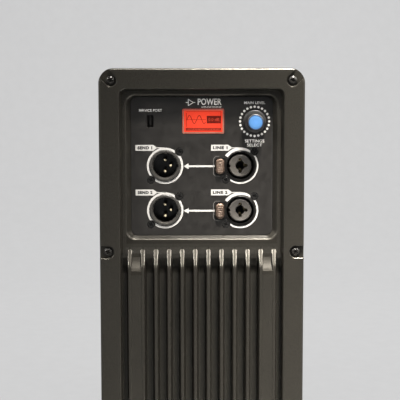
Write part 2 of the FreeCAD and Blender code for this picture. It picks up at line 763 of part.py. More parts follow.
def knob_body():
    skirt = KNOB_BASE_Y - 2.6
    profile = [
        (SHAFT_R + 0.05, KNOB_BASE_Y - 2.0),
        (SHAFT_R + 2.5, KNOB_BASE_Y - 2.0),
        (SHAFT_R + 2.5, KNOB_BASE_Y),
        (KNOB_BASE_R - 0.3, KNOB_BASE_Y),
        (KNOB_BASE_R, KNOB_BASE_Y - 0.3),
        (KNOB_BASE_R, skirt),
        (KNOB_BASE_R - 0.5, skirt - 0.5),
        (KNOB_TOP_R + 0.15, KNOB_TOP_Y + 0.9),
        (KNOB_TOP_R - 0.15, KNOB_TOP_Y + 0.25),
        (KNOB_TOP_R - 0.6, KNOB_TOP_Y),
        (KNOB_CAP_R + 0.05, KNOB_TOP_Y),
        (KNOB_CAP_R + 0.05, KNOB_TOP_Y + KNOB_CAP_DEPTH),
        (SHAFT_R + 0.05, KNOB_TOP_Y + KNOB_CAP_DEPTH),
    ]
    return turned(profile, KNOB_X, KNOB_Z)


def knob_cap():
    front = KNOB_TOP_Y - 0.25
    profile = [
        (0, front),
        (KNOB_CAP_R * 0.7, front + 0.08),
        (KNOB_CAP_R - 0.25, front + 0.3),
        (KNOB_CAP_R, front + 0.7),
        (KNOB_CAP_R, KNOB_TOP_Y + KNOB_CAP_DEPTH),
        (0, KNOB_TOP_Y + KNOB_CAP_DEPTH),
    ]
    return turned(profile, KNOB_X, KNOB_Z)


def encoder_shaft():
    front = KNOB_TOP_Y + KNOB_CAP_DEPTH
    stem = rod(SHAFT_R, KNOB_X, KNOB_Z, front, 7.0)
    half = SHAFT_TAIL / 2
    tail = box(KNOB_X - half, KNOB_X + half, 6.5, 11.5, KNOB_Z - half, KNOB_Z + half)
    return stem.fuse(tail)


def encoder_rotor():
    half = ROTOR_BORE / 2
    disc = rod(5.0, KNOB_X, KNOB_Z, 8.4, 10.4)
    return disc.cut(box(KNOB_X - half, KNOB_X + half, 8, 11, KNOB_Z - half, KNOB_Z + half))


def encoder_housing():
    """Square case with a threaded bushing that passes through the panel."""
    square = around(KNOB_X, KNOB_Z, 2 * ENCODER_HALF, 2 * ENCODER_HALF, 0.8)
    case = slab(square, PANEL_BACK, CONTROL_BOARD_FRONT)
    bushing = rod(BUSHING_R, KNOB_X, KNOB_Z, BUSHING_FRONT, PANEL_BACK + 0.5)
    room = rod(5.4, KNOB_X, KNOB_Z, 7.9, CONTROL_BOARD_FRONT - 0.9)
    bore = rod(BUSHING_BORE_R, KNOB_X, KNOB_Z, BUSHING_FRONT - 1, 8.5)
    return case.fuse(bushing).cut([room, bore])


def encoder_nut():
    nut = hexagon(5.0, KNOB_X, KNOB_Z, BUSHING_FRONT + 0.1, FILM_FRONT + 0.1)
    washer = rod(5.6, KNOB_X, KNOB_Z, FILM_FRONT + 0.1, PANEL_FRONT)
    return nut.fuse(washer).cut(rod(BUSHING_R, KNOB_X, KNOB_Z, 0, 3))


def usb_socket():
    back = CONTROL_BOARD_FRONT
    shell = slab(around(SERVICE_X, SERVICE_Z, 7.0, 10.6, 1.0), PANEL_BACK, back)
    mouth = slab(around(SERVICE_X, SERVICE_Z, 4.0, 7.8, 0.7), PANEL_BACK - 1, back - 2)
    tongue = slab(around(SERVICE_X, SERVICE_Z, 1.4, 6.0, 0.3), PANEL_BACK + 1.2, back - 1)
    return shell.cut(mouth).fuse(tongue)


def pin_points(x, z):
    return [(x, z + PIN_CIRCLE_R), (x + PIN_CIRCLE_R, z), (x, z - PIN_CIRCLE_R)]


def connector_flange(x0, x1, x, z):
    rect = (x + x0, x + x1, z - CONNECTOR_FLANGE, z + CONNECTOR_FLANGE, 2.0)
    plate = slab(rect, PANEL_BACK, PANEL_BACK + CONNECTOR_FLANGE_T)
    holes = []
    for side in (-1, 1):
        offset = side * CONNECTOR_SCREW
        holes.append(rod(CONNECTOR_SCREW_R + 0.05, x + offset, z + offset, PANEL_BACK - 1, PANEL_BACK + 4))
    return plate.cut(holes)


def output_housing(z):
    x = OUTPUT_X
    nose = turned(
        [
            (0, NOSE_FRONT),
            (OUTPUT_NOSE_R - 0.5, NOSE_FRONT),
            (OUTPUT_NOSE_R, NOSE_FRONT + 0.5),
            (OUTPUT_NOSE_R, PANEL_BACK + 1),
            (0, PANEL_BACK + 1),
        ],
        x,
        z,
    )
    rear = slab(around(x, z, 21.0, 24.0, 3.0), PANEL_BACK + CONNECTOR_FLANGE_T - 0.5, IO_BOARD_FRONT)
    corner = rear.cut([rod(3.2, x + s * CONNECTOR_SCREW, z + s * CONNECTOR_SCREW, 6, 14) for s in (-1, 1)])
    body = join([nose, connector_flange(-CONNECTOR_FLANGE, CONNECTOR_FLANGE, x, z), corner])
    bore = turned(
        [
            (0, NOSE_FRONT - 1),
            (OUTPUT_BORE_R + 1.0, NOSE_FRONT - 1),
            (OUTPUT_BORE_R + 0.9, NOSE_FRONT),
            (OUTPUT_BORE_R, NOSE_FRONT + 1.6),
            (OUTPUT_BORE_R, OUTPUT_BORE_BACK),
            (0, OUTPUT_BORE_BACK),
        ],
        x,
        z,
    )
    key_x = x + OUTPUT_BORE_R
    cutters = [bore, box(key_x - 1, key_x + 0.9, NOSE_FRONT - 1, OUTPUT_BORE_BACK, z - 1.0, z + 1.0)]
    for px, pz in pin_points(x, z):
        cutters.append(rod(CONTACT_R + 0.05, px, pz, OUTPUT_BORE_BACK - 1, IO_BOARD_FRONT + 1))
    return body.cut(cutters)


def output_pins(z):
    tip = NOSE_FRONT + 2.4
    profile = [
        (0, tip),
        (CONTACT_R * 0.6, tip + 0.15),
        (CONTACT_R, tip + 0.9),
        (CONTACT_R, IO_BOARD_FRONT - 1.0),
        (0.5, IO_BOARD_FRONT - 1.0),
        (0.5, IO_BOARD_FRONT + BOARD + 1.2),
        (0, IO_BOARD_FRONT + BOARD + 1.2),
    ]
    return Part.makeCompound([turned(profile, px, pz) for px, pz in pin_points(OUTPUT_X, z)])


def input_housing(z):
    x = INPUT_X
    nose = turned(
        [
            (0, NOSE_FRONT),
            (INPUT_NOSE_R - 0.4, NOSE_FRONT),
            (INPUT_NOSE_R, NOSE_FRONT + 0.4),
            (INPUT_NOSE_R, PANEL_BACK + 1),
            (0, PANEL_BACK + 1),
        ],
        x,
        z,
    )
    guide = slab(moved(LATCH_GUIDE, x, z), NOSE_FRONT + 0.3, PANEL_BACK + 1)
    block = (x - 10.2, x + 11.5, z - 12.0, z + 12.0, 3.0)
    rear = slab(block, PANEL_BACK + CONNECTOR_FLANGE_T - 0.5, IO_BOARD_FRONT)
    rear = rear.cut([rod(3.2, x + s * CONNECTOR_SCREW, z + s * CONNECTOR_SCREW, 6, 14) for s in (-1, 1)])
    body = join([nose, guide, connector_flange(-CONNECTOR_FLANGE - 5.2, CONNECTOR_FLANGE, x, z), rear])
    cutters = [rod(INPUT_BORE_R, x, z, NOSE_FRONT - 1, INPUT_BORE_BACK)]
    cutters.append(rod(INSERT_R + 0.05, x, z, INPUT_BORE_BACK - 1, IO_BOARD_FRONT + 1))
    cutters.append(slab(grown(moved(LATCH, x, z), LATCH_GAP), NOSE_FRONT - 2, PANEL_BACK + 6))
    return body.cut(cutters)


def input_insert(z):
    """Insert with a slightly hollow face, a central jack hole and three contact holes."""
    x = INPUT_X
    rim = INSERT_R - 0.7
    steps = 7
    dish = []
    for step in range(steps + 1):
        share = step / steps
        dish.append((rim * share, INSERT_FRONT + INSERT_DISH * (1 - share * share)))
    back = IO_BOARD_FRONT - 0.2
    disc = turned(dish + [(INSERT_R, INSERT_FRONT + 0.7), (INSERT_R, back), (0, back)], x, z)
    cutters = [rod(JACK_R, x, z, INSERT_FRONT - 1, JACK_BACK)]
    for px, pz in pin_points(x, z):
        cutters.append(rod(CONTACT_R + 0.05, px, pz, INSERT_FRONT - 1, IO_BOARD_FRONT))
    edge = x - INSERT_R
    cutters.append(box(edge - 1, edge + 1.1, INSERT_FRONT - 1, INPUT_BORE_BACK - 2, z - 0.9, z + 0.9))
    return disc.cut(cutters)


def input_contacts(z):
    """Three tube contacts with board tails."""
    contacts = []
    for px, pz in pin_points(INPUT_X, z):
        contact = rod(CONTACT_R, px, pz, CONTACT_FRONT, IO_BOARD_FRONT - 1)
        contact = contact.cut(rod(0.8, px, pz, CONTACT_FRONT - 1, INPUT_BORE_BACK + 4))
        tail = rod(0.5, px, pz, IO_BOARD_FRONT - 2, IO_BOARD_FRONT + BOARD + 1.2)
        contacts.append(contact.fuse(tail))
    return Part.makeCompound(contacts)


def input_latch(z):
    """Press tab with a rounded top, a bevelled foot and a tail behind the panel."""
    rect = moved(LATCH, INPUT_X, z)
    x0, x1, z0, z1, r = rect
    crown = (x0 + 0.9, x1 - 0.9, z0 + 1.3, z1 - 0.9, 1.6)
    face = funnel(crown, LATCH_FRONT, rect, LATCH_FRONT + 1.1)
    block = slab(rect, LATCH_FRONT + 1.1, PANEL_BACK)
    tail = box(x0 + 1.6, x1 - 1.6, PANEL_BACK - 1, PANEL_BACK + 8, z0 + 3.0, z1 - 3.0)
    hook = box(x0 + 1.6, x1 - 0.4, PANEL_BACK + 7, PANEL_BACK + 8, z0 + 3.0, z1 - 3.0)
    return join([face, block, tail, hook])


def panel_screw(x, z):
    """Countersunk screw, its flat head level with the panel floor."""
    head = CONNECTOR_SCREW_HEAD_R
    shank = CONNECTOR_SCREW_R
    front = PANEL_FRONT - 0.3
    profile = [
        (0, front),
        (head - 0.3, front),
        (head, PANEL_FRONT - 0.05),
        (head, PANEL_FRONT),
        (shank, PANEL_FRONT + head - shank),
        (shank, PANEL_BACK + CONNECTOR_FLANGE_T + 1.5),
        (0, PANEL_BACK + CONNECTOR_FLANGE_T + 1.5),
    ]
    return turned(profile, x, z).cut(cross_recess(x, z, front, 2.9, 1.0))


def panel_screws():
    points = connector_screw_points() + mains_screw_points()
    return Part.makeCompound([panel_screw(x, z) for x, z in points])


def mains_housing(x):
    """Twist-lock mains connector: outer barrel, ring space, central core with three contact slots."""
    z = MAINS_Z
    nose = turned(
        [
            (0, MAINS_FRONT),
            (MAINS_NOSE_R - 0.7, MAINS_FRONT),
            (MAINS_NOSE_R, MAINS_FRONT + 0.7),
            (MAINS_NOSE_R, PANEL_BACK + 1),
            (0, PANEL_BACK + 1),
        ],
        x,
        z,
    )
    plate = slab((x - 13, x + 13, z - 15.5, z + 15.5, 2.0), PANEL_BACK, PANEL_BACK + CONNECTOR_FLANGE_T)
    holes = []
    for side in (-1, 1):
        hole_x = x + side * MAINS_SCREW_X
        holes.append(rod(CONNECTOR_SCREW_R + 0.05, hole_x, z + side * MAINS_SCREW_Z, 4, 10))
    body = join([nose, plate.cut(holes), rod(MAINS_NOSE_R - 0.4, x, z, PANEL_BACK, MAINS_BACK)])
    ring = rod(MAINS_BORE_R, x, z, MAINS_FRONT - 1, MAINS_BORE_BACK)
    ring = ring.cut(rod(MAINS_CORE_R, x, z, MAINS_FRONT + 2.6, MAINS_BORE_BACK + 1))
    cutters = [ring]
    for angle in CONTACT_ANGLES:
        key = box(MAINS_BORE_R - 1, MAINS_BORE_R + 0.9, MAINS_FRONT - 1, MAINS_BORE_BACK - 3, -1.7, 1.7)
        key.rotate(vec(0, 0, 0), vec(0, -1, 0), angle)
        key.translate(vec(x, 0, z))
        cutters.append(key)
        cutters.append(contact_blade(x, z, angle, 0.1, MAINS_FRONT + 1, MAINS_BACK + 1))
    return body.cut(cutters)


def contact_blade(x, z, angle, extra, y0, y1):
    blade = box(3.9 - extra, 4.8 + extra, y0, y1, -2.0 - extra, 2.0 + extra)
    blade.rotate(vec(0, 0, 0), vec(0, -1, 0), angle)
    blade.translate(vec(x, 0, z))
    return blade


def mains_contacts():
    front = MAINS_FRONT + 4.0
    back = MAINS_BACK + 5
    blades = []
    for x in (-MAINS_X, MAINS_X):
        blades += [contact_blade(x, MAINS_Z, angle, 0.0, front, back) for angle in CONTACT_ANGLES]
    return Part.makeCompound(blades)


def switch_frame():
    outside = around(0, MAINS_Z, 2 * SWITCH_HALF_X, 2 * SWITCH_HALF_Z, 1.0)
    inside = around(0, MAINS_Z, 2 * SWITCH_CAVITY_X, 2 * SWITCH_CAVITY_Z, 0.6)
    rim = grown(outside, 1.2)
    bezel = funnel(grown(rim, -0.5), FILM_FRONT - 1.6, rim, FILM_FRONT)
    case = slab(outside, FILM_FRONT - 0.5, 20.0)
    room = slab(inside, FILM_FRONT - 3, 17.0)
    pivot = cross_rod(1.4, SWITCH_HALF_X - 0.5, SWITCH_PIVOT_Y, MAINS_Z)
    tabs = []
    for dz in (-7.0, 0.0, 7.0):
        tabs.append(box(-3.0, 3.0, 19.5, 28.0, MAINS_Z + dz - 0.4, MAINS_Z + dz + 0.4))
    return join([bezel, case]).cut([room, pivot]).fuse(tabs)


def switch_rocker():
    """Rocker resting on its lower stop, tilted about the pivot line."""
    z = MAINS_Z
    y = SWITCH_PIVOT_Y
    section = [
        (y - 5.4, z - 8.6),
        (y - 4.0, z),
        (y - 5.4, z + 8.6),
        (y - 1.0, z + 8.4),
        (y + 5.5, z + 2.5),
        (y + 5.5, z - 2.5),
        (y - 1.0, z - 8.4),
    ]
    block = side_profile(section, -ROCKER_HALF_X, ROCKER_HALF_X)
    solid = block.fuse(cross_rod(1.0, ROCKER_HALF_X + 1.1, y, z))
    solid.rotate(vec(0, y, z), vec(1, 0, 0), ROCKER_TILT)
    return solid


def board(rect, front, holes):
    return slab(rect, front, front + BOARD).cut(holes)


def power_board():
    front = POWER_BOARD_FRONT
    holes = [rod(BOARD_HOLE_R, x, z, front - 1, front + 3) for x, z in POWER_STANDOFFS]
    for x, z in lead_points():
        holes.append(box(x - 0.9, x + 0.9, front - 1, front + 3, z - 0.6, z + 0.6))
    return board(POWER_BOARD, front, holes)


def io_board():
    front = IO_BOARD_FRONT
    holes = [rod(BOARD_HOLE_R, x, z, front - 1, front + 3) for x, z in IO_STANDOFFS]
    for z in CONNECTOR_ROWS:
        for px, pz in pin_points(OUTPUT_X, z) + pin_points(INPUT_X, z):
            holes.append(rod(0.8, px, pz, front - 1, front + 3))
    return board(IO_BOARD, front, holes)


def chip(x, z, width, height, front, thick):
    return box(x - width / 2, x + width / 2, front, front + thick, z - height / 2, z + height / 2)


def dsp_board():
    """Signal processor board with its main chips and header on the rear side."""
    front = DSP_BOARD_FRONT
    back = front + BOARD
    holes = [rod(BOARD_HOLE_R, x, z, front - 1, front + 3) for x, z in IO_STANDOFFS]
    plain = board(DSP_BOARD, front, holes)
    chips = [chip(-8, 108, 20, 20, back, 1.6)]
    chips.append(chip(18, 112, 12, 10, back, 1.4))
    chips.append(chip(18, 95, 10, 8, back, 1.4))
    chips += [chip(-30, 112 - 12 * n, 7, 5, back, 1.5) for n in range(3)]
    return join([plain] + chips)


def control_board():
    front = CONTROL_BOARD_FRONT
    holes = [rod(BOARD_HOLE_R, x, z, front - 1, front + 3) for x, z in CONTROL_STANDOFFS]
    back = front + BOARD
    plain = board(CONTROL_BOARD, front, holes)
    chips = [chip(-14, 146, 10, 10, back, 1.5)]
    chips.append(chip(6, 146, 16, 5, back, 5.0))
    chips.append(chip(24, 150, 5, 4, back, 1.2))
    return join([plain] + chips)


def standoff(x, z, y0, y1):
    post = hexagon(STANDOFF_R, x, z, y0, y1)
    return post.cut(rod(STANDOFF_BORE_R, x, z, y1 - 6, y1 + 1))


def board_standoffs():
    posts = []
    for x, z in POWER_STANDOFFS:
        stud = rod(STANDOFF_BORE_R - 0.05, x, z, SINK_BACK - 4, SINK_BACK + 1)
        posts.append(standoff(x, z, SINK_BACK, POWER_BOARD_FRONT).fuse(stud))
    for x, z in CONTROL_STANDOFFS:
        posts.append(standoff(x, z, PANEL_BACK, CONTROL_BOARD_FRONT))
    for x, z in IO_STANDOFFS:
        posts.append(standoff(x, z, PANEL_BACK, IO_BOARD_FRONT))
        stud = rod(STANDOFF_BORE_R - 0.05, x, z, IO_BOARD_FRONT - 5, IO_BOARD_FRONT + BOARD + 1)
        posts.append(standoff(x, z, IO_BOARD_FRONT + BOARD, DSP_BOARD_FRONT).fuse(stud))
    return Part.makeCompound(posts)


def board_screw(x, z, back):
    profile = [
        (0, back - 4.5),
        (BOARD_SCREW_R, back - 4.5),
        (BOARD_SCREW_R, back),
        (2.7, back),
        (2.7, back + 1.2),
        (1.8, back + 1.9),
        (0, back + 1.9),
    ]
    return turned(profile, x, z)


def board_screws():
    screws = [board_screw(x, z, POWER_BOARD_FRONT + BOARD) for x, z in POWER_STANDOFFS]
    screws += [board_screw(x, z, DSP_BOARD_FRONT + BOARD) for x, z in IO_STANDOFFS]
    screws += [board_screw(x, z, CONTROL_BOARD_FRONT + BOARD) for x, z in CONTROL_STANDOFFS]
    return Part.makeCompound(screws)


def transistor_points():
    return [(x, z) for x in TRANSISTOR_X for z in TRANSISTOR_ROWS]


def lead_points():
    points = []
    for x, z in transistor_points():
        for step in (-1, 0, 1):
            points.append((x + step * 5.45, z - TRANSISTOR_H / 2 - 3.0))
    return points


def power_transistor(x, z):
    front = SINK_BACK + PAD_T
    half = TRANSISTOR_W / 2
    low = z - TRANSISTOR_H / 2
    body = box(x - half, x + half, front, front + TRANSISTOR_T, low, z + TRANSISTOR_H / 2)
    pieces = [body]
    tip = POWER_BOARD_FRONT + BOARD + 1.2
    for step in (-1, 0, 1):
        lx = x + step * 5.45
        pieces.append(box(lx - 0.6, lx + 0.6, front + 2.0, front + 2.6, low - 3.3, low + 1))
        pieces.append(box(lx - 0.6, lx + 0.6, front + 2.0, tip, low - 3.3, low - 2.7))
    return join(pieces)


def power_transistors():
    return Part.makeCompound([power_transistor(x, z) for x, z in transistor_points()])


def insulating_pads():
    pads = []
    for x, z in transistor_points():
        rect = around(x, z, TRANSISTOR_W + 2.4, TRANSISTOR_H + 3.0, 0.8)
        pads.append(slab(rect, SINK_BACK, SINK_BACK + PAD_T))
    return Part.makeCompound(pads)


def clamp_front():
    return SINK_BACK + PAD_T + TRANSISTOR_T


def transistor_clamps():
    bars = []
    for row in TRANSISTOR_ROWS:
        bar = slab((-45.5, 45.5, row - 4.5, row + 4.5, 1.0), clamp_front(), clamp_front() + CLAMP_T)
        bars.append(bar.cut([rod(1.6, x, row, 10, 20) for x in CLAMP_SCREW_X]))
    return Part.makeCompound(bars)


def clamp_screws():
    screws = []
    top = clamp_front() + CLAMP_T
    for x, z in clamp_screw_points():
        profile = [
            (0, 4.0),
            (1.4, 4.0),
            (1.4, top),
            (2.75, top),
            (2.75, top + 2.4),
            (1.2, top + 2.4),
            (1.2, top + 1.0),
            (0, top + 1.0),
        ]
        screws.append(turned(profile, x, z))
    return Part.makeCompound(screws)


def bulk_capacitors():
    cans = []
    front = POWER_BOARD_FRONT + BOARD
    r = CAPACITOR_R
    for x, z in CAPACITORS:
        profile = [
            (0, front),
            (r - 0.6, front),
            (r, front + 1.0),
            (r, front + 2.6),
            (r - 0.5, front + 3.2),
            (r, front + 3.8),
            (r, front + CAPACITOR_L - 1.0),
            (r - 1.0, front + CAPACITOR_L),
            (0, front + CAPACITOR_L),
        ]
        cans.append(turned(profile, x, z))
    return Part.makeCompound(cans)


def output_inductors():
    """Two wound ring chokes lying on a base disc each."""
    rings = []
    front = POWER_BOARD_FRONT + BOARD
    for x, z in INDUCTORS:
        base = rod(15.0, x, z, front, front + 1.5)
        profile = [
            (6.5, front + 1.5),
            (14.5, front + 1.5),
            (15.2, front + 3),
            (15.2, front + 15),
            (14.0, front + 17),
            (7.0, front + 17),
            (6.0, front + 15),
            (6.0, front + 3),
        ]
        rings.append(base.fuse(turned(profile, x, z)))
    return Part.makeCompound(rings)


def transformer_core():
    """Two-part ferrite core with three limbs."""
    front = POWER_BOARD_FRONT + BOARD + 2.0
    x = TRANSFORMER_X
    z = TRANSFORMER_Z
    block = box(x - 10, x + 10, front, front + 30, z - 21, z + 21)
    windows = []
    for side in (-1, 1):
        middle = z + side * 10.5
        windows.append(box(x - 11, x + 11, front + 6, front + 24, middle - 5.5, middle + 5.5))
    return block.cut(windows)


def transformer_winding():
    """Bobbin with its winding around the middle limb, standing on the board."""
    front = POWER_BOARD_FRONT + BOARD + 2.0
    x = TRANSFORMER_X
    z = TRANSFORMER_Z
    coil = slab(around(x, z, 30.0, 20.6, 4.0), front + 6.6, front + 23.4)
    hole = box(x - 10.1, x + 10.1, front + 5, front + 25, z - 5.1, z + 5.1)
    feet = []
    for side in (-1, 1):
        low = min(side * 11.5, side * 14.8)
        feet.append(box(x + low, x + low + 3.3, POWER_BOARD_FRONT + BOARD, front + 8, z - 10, z + 10))
    return join([coil.cut(hole)] + feet)


def choke_core():
    front = POWER_BOARD_FRONT + BOARD + 2.0
    return tube(7.0, 12.5, CHOKE_X, CHOKE_Z, front + 1.5, front + 13.5)


def choke_winding():
    """Two half windings around the ring core and the divider plate that carries them."""
    front = POWER_BOARD_FRONT + BOARD + 2.0
    shell = tube(5.6, 14.2, CHOKE_X, CHOKE_Z, front, front + 15)
    room = tube(6.95, 12.55, CHOKE_X, CHOKE_Z, front + 1.4, front + 13.6)
    gap = box(CHOKE_X - 2.4, CHOKE_X + 2.4, front - 1, front + 17, CHOKE_Z - 16, CHOKE_Z + 16)
    wound = shell.cut([room, gap])
    carrier = slab(around(CHOKE_X, CHOKE_Z, 28.0, 24.0, 1.0), POWER_BOARD_FRONT + BOARD, front)
    return wound.fuse(carrier)


def bridge_rectifier():
    front = POWER_BOARD_FRONT + BOARD
    body = box(-4, 20, front + 3, front + 22, -90.5, -84.5)
    leads = [box(-1.5 + 6.0 * n, -0.5 + 6.0 * n, front - 3, front + 4, -88, -87) for n in range(4)]
    holes = [Part.makeCylinder(1.7, 10, vec(8, front + 15, -93), vec(0, 0, 1))]
    trimmed = [lead.common(box(-5, 25, front, front + 6, -95, -80)) for lead in leads]
    return join([body.cut(holes)] + trimmed)


def line_fuse():
    front = POWER_BOARD_FRONT + BOARD
    glass = Part.makeCylinder(2.6, 20, vec(26, front + 5, -80), vec(1, 0, 0))
    clips = [box(27 + 14 * n, 31 + 14 * n, front, front + 6, -83.4, -76.6) for n in range(2)]
    base = box(25, 47, front, front + 1.6, -84, -76)
    return join([glass, base] + clips)


def ribbon_cable():
    """Flat cable from the power board over to the signal processor board."""
    x0, x1 = 16.0, 36.0
    front = POWER_BOARD_FRONT + BOARD
    far = DSP_BOARD_FRONT + BOARD
    plug_low = box(x0 - 1, x1 + 1, front, front + 6, 50.0, 55.0)
    rise = box(x0, x1, front + 5, far + 8, 52.0, 53.0)
    across = box(x0, x1, far + 7, far + 8, 52.0, 80.0)
    drop = box(x0, x1, far + 5, far + 8, 79.0, 80.0)
    plug_high = box(x0 - 1, x1 + 1, far, far + 6, 77.0, 82.0)
    return join([plug_low, rise, across, drop, plug_high])


def wire(points, r):
    """A round wire that follows straight runs with ball joints at the bends."""
    pieces = []
    for a, b in zip(points, points[1:]):
        start = vec(*a)
        run = vec(*b).sub(start)
        pieces.append(Part.makeCylinder(r, run.Length, start, run))
    for p in points[1:-1]:
        pieces.append(Part.makeSphere(r, vec(*p)))
    return join(pieces)


def mains_harness():
    """Inlet to link, inlet to switch and switch to power board."""
    z = MAINS_Z
    wires = []
    for step in (-1, 1):
        y = MAINS_BACK + 8 + 2 * step
        high = z + 6 * step
        left = [(-MAINS_X, MAINS_BACK, high), (-MAINS_X, y, high)]
        right = [(MAINS_X, y, high), (MAINS_X, MAINS_BACK, high)]
        wires.append(wire(left + right, 1.2))
    board_back = POWER_BOARD_FRONT + BOARD
    for step in (-1, 1):
        x = 5.5 * step
        lift = 30.5
        rise = [(x, 20.0, z + 10.6), (x, lift, z + 10.6)]
        fall = [(x, lift, -99.0), (x, board_back, -99.0)]
        wires.append(wire(rise + fall, 1.2))
    return Part.makeCompound(wires)


def cover_shell():
    """Folded sheet box with bent edges and three outward beads pressed into its back."""
    inner = grown((-RIB_HALF_X, RIB_HALF_X, -RIB_HALF_Z, RIB_HALF_Z, COVER_CORNER), COVER_GAP)
    outer = grown(inner, COVER_WALL)
    shell = slab(outer, PANEL_BACK, COVER_BACK)
    shell = shell.makeFillet(COVER_BEND, edges_on_level(shell, COVER_BACK, outer, 0.1))
    room = slab(inner, PANEL_BACK - 1, COVER_BACK - COVER_WALL)
    room = room.makeFillet(COVER_BEND - COVER_WALL, edges_on_level(room, COVER_BACK - COVER_WALL, inner, 0.1))
    for x in COVER_BEADS:
        bead = (x - BEAD_WIDTH / 2, x + BEAD_WIDTH / 2, BEAD_LOW, BEAD_HIGH, BEAD_WIDTH / 2 - 0.1)
        top = grown(bead, -BEAD_HEIGHT)
        shell = shell.fuse(funnel(bead, COVER_BACK, top, COVER_BACK + BEAD_HEIGHT))
        hollow = COVER_BACK - COVER_WALL
        room = room.fuse(funnel(grown(bead, -0.6), hollow, grown(top, -0.6), hollow + BEAD_HEIGHT))
    return shell.cut(room)


def rear_cover():
    holes = []
    for z in COVER_SCREW_ROWS:
        holes.append(cross_rod(1.6, RIB_HALF_X + 3, COVER_SCREW_Y, z))
    holes.append(box(-11, 11, COVER_BACK - 5, COVER_BACK + 5, -148, -136))
    return cover_shell().cut(holes)


def cover_screw(side, z):
    seat = side * (RIB_HALF_X + COVER_GAP + COVER_WALL)
    inside = side * (RIB_HALF_X - RIB_WALL - 0.6)
    out = vec(side, 0, 0)
    head_r = COVER_SCREW_HEAD_R
    shank = Part.makeCylinder(COVER_THREAD_R - 0.05, abs(seat - inside), vec(inside, COVER_SCREW_Y, z), out)
    head = Part.makeCone(head_r, head_r - 0.6, COVER_SCREW_HEAD, vec(seat, COVER_SCREW_Y, z), out)
    return shank.fuse(head)


def cover_screws():
    return Part.makeCompound([cover_screw(side, z) for side in (-1, 1) for z in COVER_SCREW_ROWS])


def output_terminal():
    """Four-pole terminal block in the back of the cover for the loudspeaker harness."""
    plate = slab((-16, 16, -152, -132, 1.5), COVER_BACK, COVER_BACK + 2)
    block = slab((-10.8, 10.8, -147.8, -136.2, 0.8), COVER_BACK - 8, COVER_BACK + 9)
    pockets = []
    for n in range(4):
        pocket = around(-7.5 + 5.0 * n, -142, 3.6, 8.0, 0.5)
        pockets.append(slab(pocket, COVER_BACK + 1, COVER_BACK + 10))
    return join([plate, block]).cut(pockets)


def nodes():
    made = {
        "heatsink_chassis": heatsink_chassis(),
        "flange_gasket": flange_gasket(),
        "control_overlay": control_overlay(),
        "mains_overlay": mains_overlay(),
        "mounting_screws": mounting_screws(),
        "lcd_window": lcd_window(),
        "lcd_glass": lcd_glass(),
        "lcd_backlight": lcd_backlight(),
        "lcd_holder": lcd_holder(),
        "knob_body": knob_body(),
        "knob_cap": knob_cap(),
        "encoder_shaft": encoder_shaft(),
        "encoder_rotor": encoder_rotor(),
        "encoder_housing": encoder_housing(),
        "encoder_nut": encoder_nut(),
        "usb_socket": usb_socket(),
        "control_plate": control_plate(),
        "mains_plate": mains_plate(),
        "plate_screws": plate_screws(),
        "panel_screws": panel_screws(),
        "mains_inlet_housing": mains_housing(-MAINS_X),
        "mains_link_housing": mains_housing(MAINS_X),
        "mains_contacts": mains_contacts(),
        "switch_frame": switch_frame(),
        "switch_rocker": switch_rocker(),
        "control_board": control_board(),
        "io_board": io_board(),
        "dsp_board": dsp_board(),
        "power_board": power_board(),
        "board_standoffs": board_standoffs(),
        "board_screws": board_screws(),
        "power_transistors": power_transistors(),
        "insulating_pads": insulating_pads(),
        "transistor_clamps": transistor_clamps(),
        "clamp_screws": clamp_screws(),
        "bulk_capacitors": bulk_capacitors(),
        "output_inductors": output_inductors(),
        "transformer_core": transformer_core(),
        "transformer_winding": transformer_winding(),
        "choke_core": choke_core(),
        "choke_winding": choke_winding(),
        "bridge_rectifier": bridge_rectifier(),
        "line_fuse": line_fuse(),
        "ribbon_cable": ribbon_cable(),
        "mains_harness": mains_harness(),
        "rear_cover": rear_cover(),
        "cover_screws": cover_screws(),
        "output_terminal": output_terminal(),
    }
    for number, z in enumerate(CONNECTOR_ROWS, start=1):
        made[f"output_{number}_housing"] = output_housing(z)
        made[f"output_{number}_pins"] = output_pins(z)
        made[f"input_{number}_housing"] = input_housing(z)
        made[f"input_{number}_insert"] = input_insert(z)
        made[f"input_{number}_contacts"] = input_contacts(z)
        made[f"input_{number}_latch"] = input_latch(z)
    return made


os.makedirs("parts", exist_ok=True)
for name, shape in nodes().items():
    shape.exportStep(f"parts/{name}.step")
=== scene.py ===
import math

import bmesh
import bpy
from mathutils import Matrix, Vector


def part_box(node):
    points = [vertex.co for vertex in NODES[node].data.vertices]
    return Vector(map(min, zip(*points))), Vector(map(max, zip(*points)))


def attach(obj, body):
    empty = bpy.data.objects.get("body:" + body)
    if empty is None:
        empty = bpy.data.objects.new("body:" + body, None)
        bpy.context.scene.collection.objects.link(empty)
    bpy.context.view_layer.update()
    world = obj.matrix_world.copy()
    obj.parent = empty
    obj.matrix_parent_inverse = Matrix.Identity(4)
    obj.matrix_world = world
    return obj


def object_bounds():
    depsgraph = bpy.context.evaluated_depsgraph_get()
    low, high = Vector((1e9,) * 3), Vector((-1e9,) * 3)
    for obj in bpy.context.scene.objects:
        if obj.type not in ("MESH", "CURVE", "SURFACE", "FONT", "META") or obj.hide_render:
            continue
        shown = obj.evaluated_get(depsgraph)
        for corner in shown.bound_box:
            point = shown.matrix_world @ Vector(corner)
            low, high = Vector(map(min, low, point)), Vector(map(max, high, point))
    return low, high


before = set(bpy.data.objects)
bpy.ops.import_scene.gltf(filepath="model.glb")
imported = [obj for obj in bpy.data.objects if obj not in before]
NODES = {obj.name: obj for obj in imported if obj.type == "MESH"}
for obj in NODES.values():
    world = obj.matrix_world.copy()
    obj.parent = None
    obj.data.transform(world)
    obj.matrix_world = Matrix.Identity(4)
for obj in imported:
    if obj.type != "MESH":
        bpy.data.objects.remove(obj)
CAD_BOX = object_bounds()
MM = 0.001
ROOT = "amplifier"

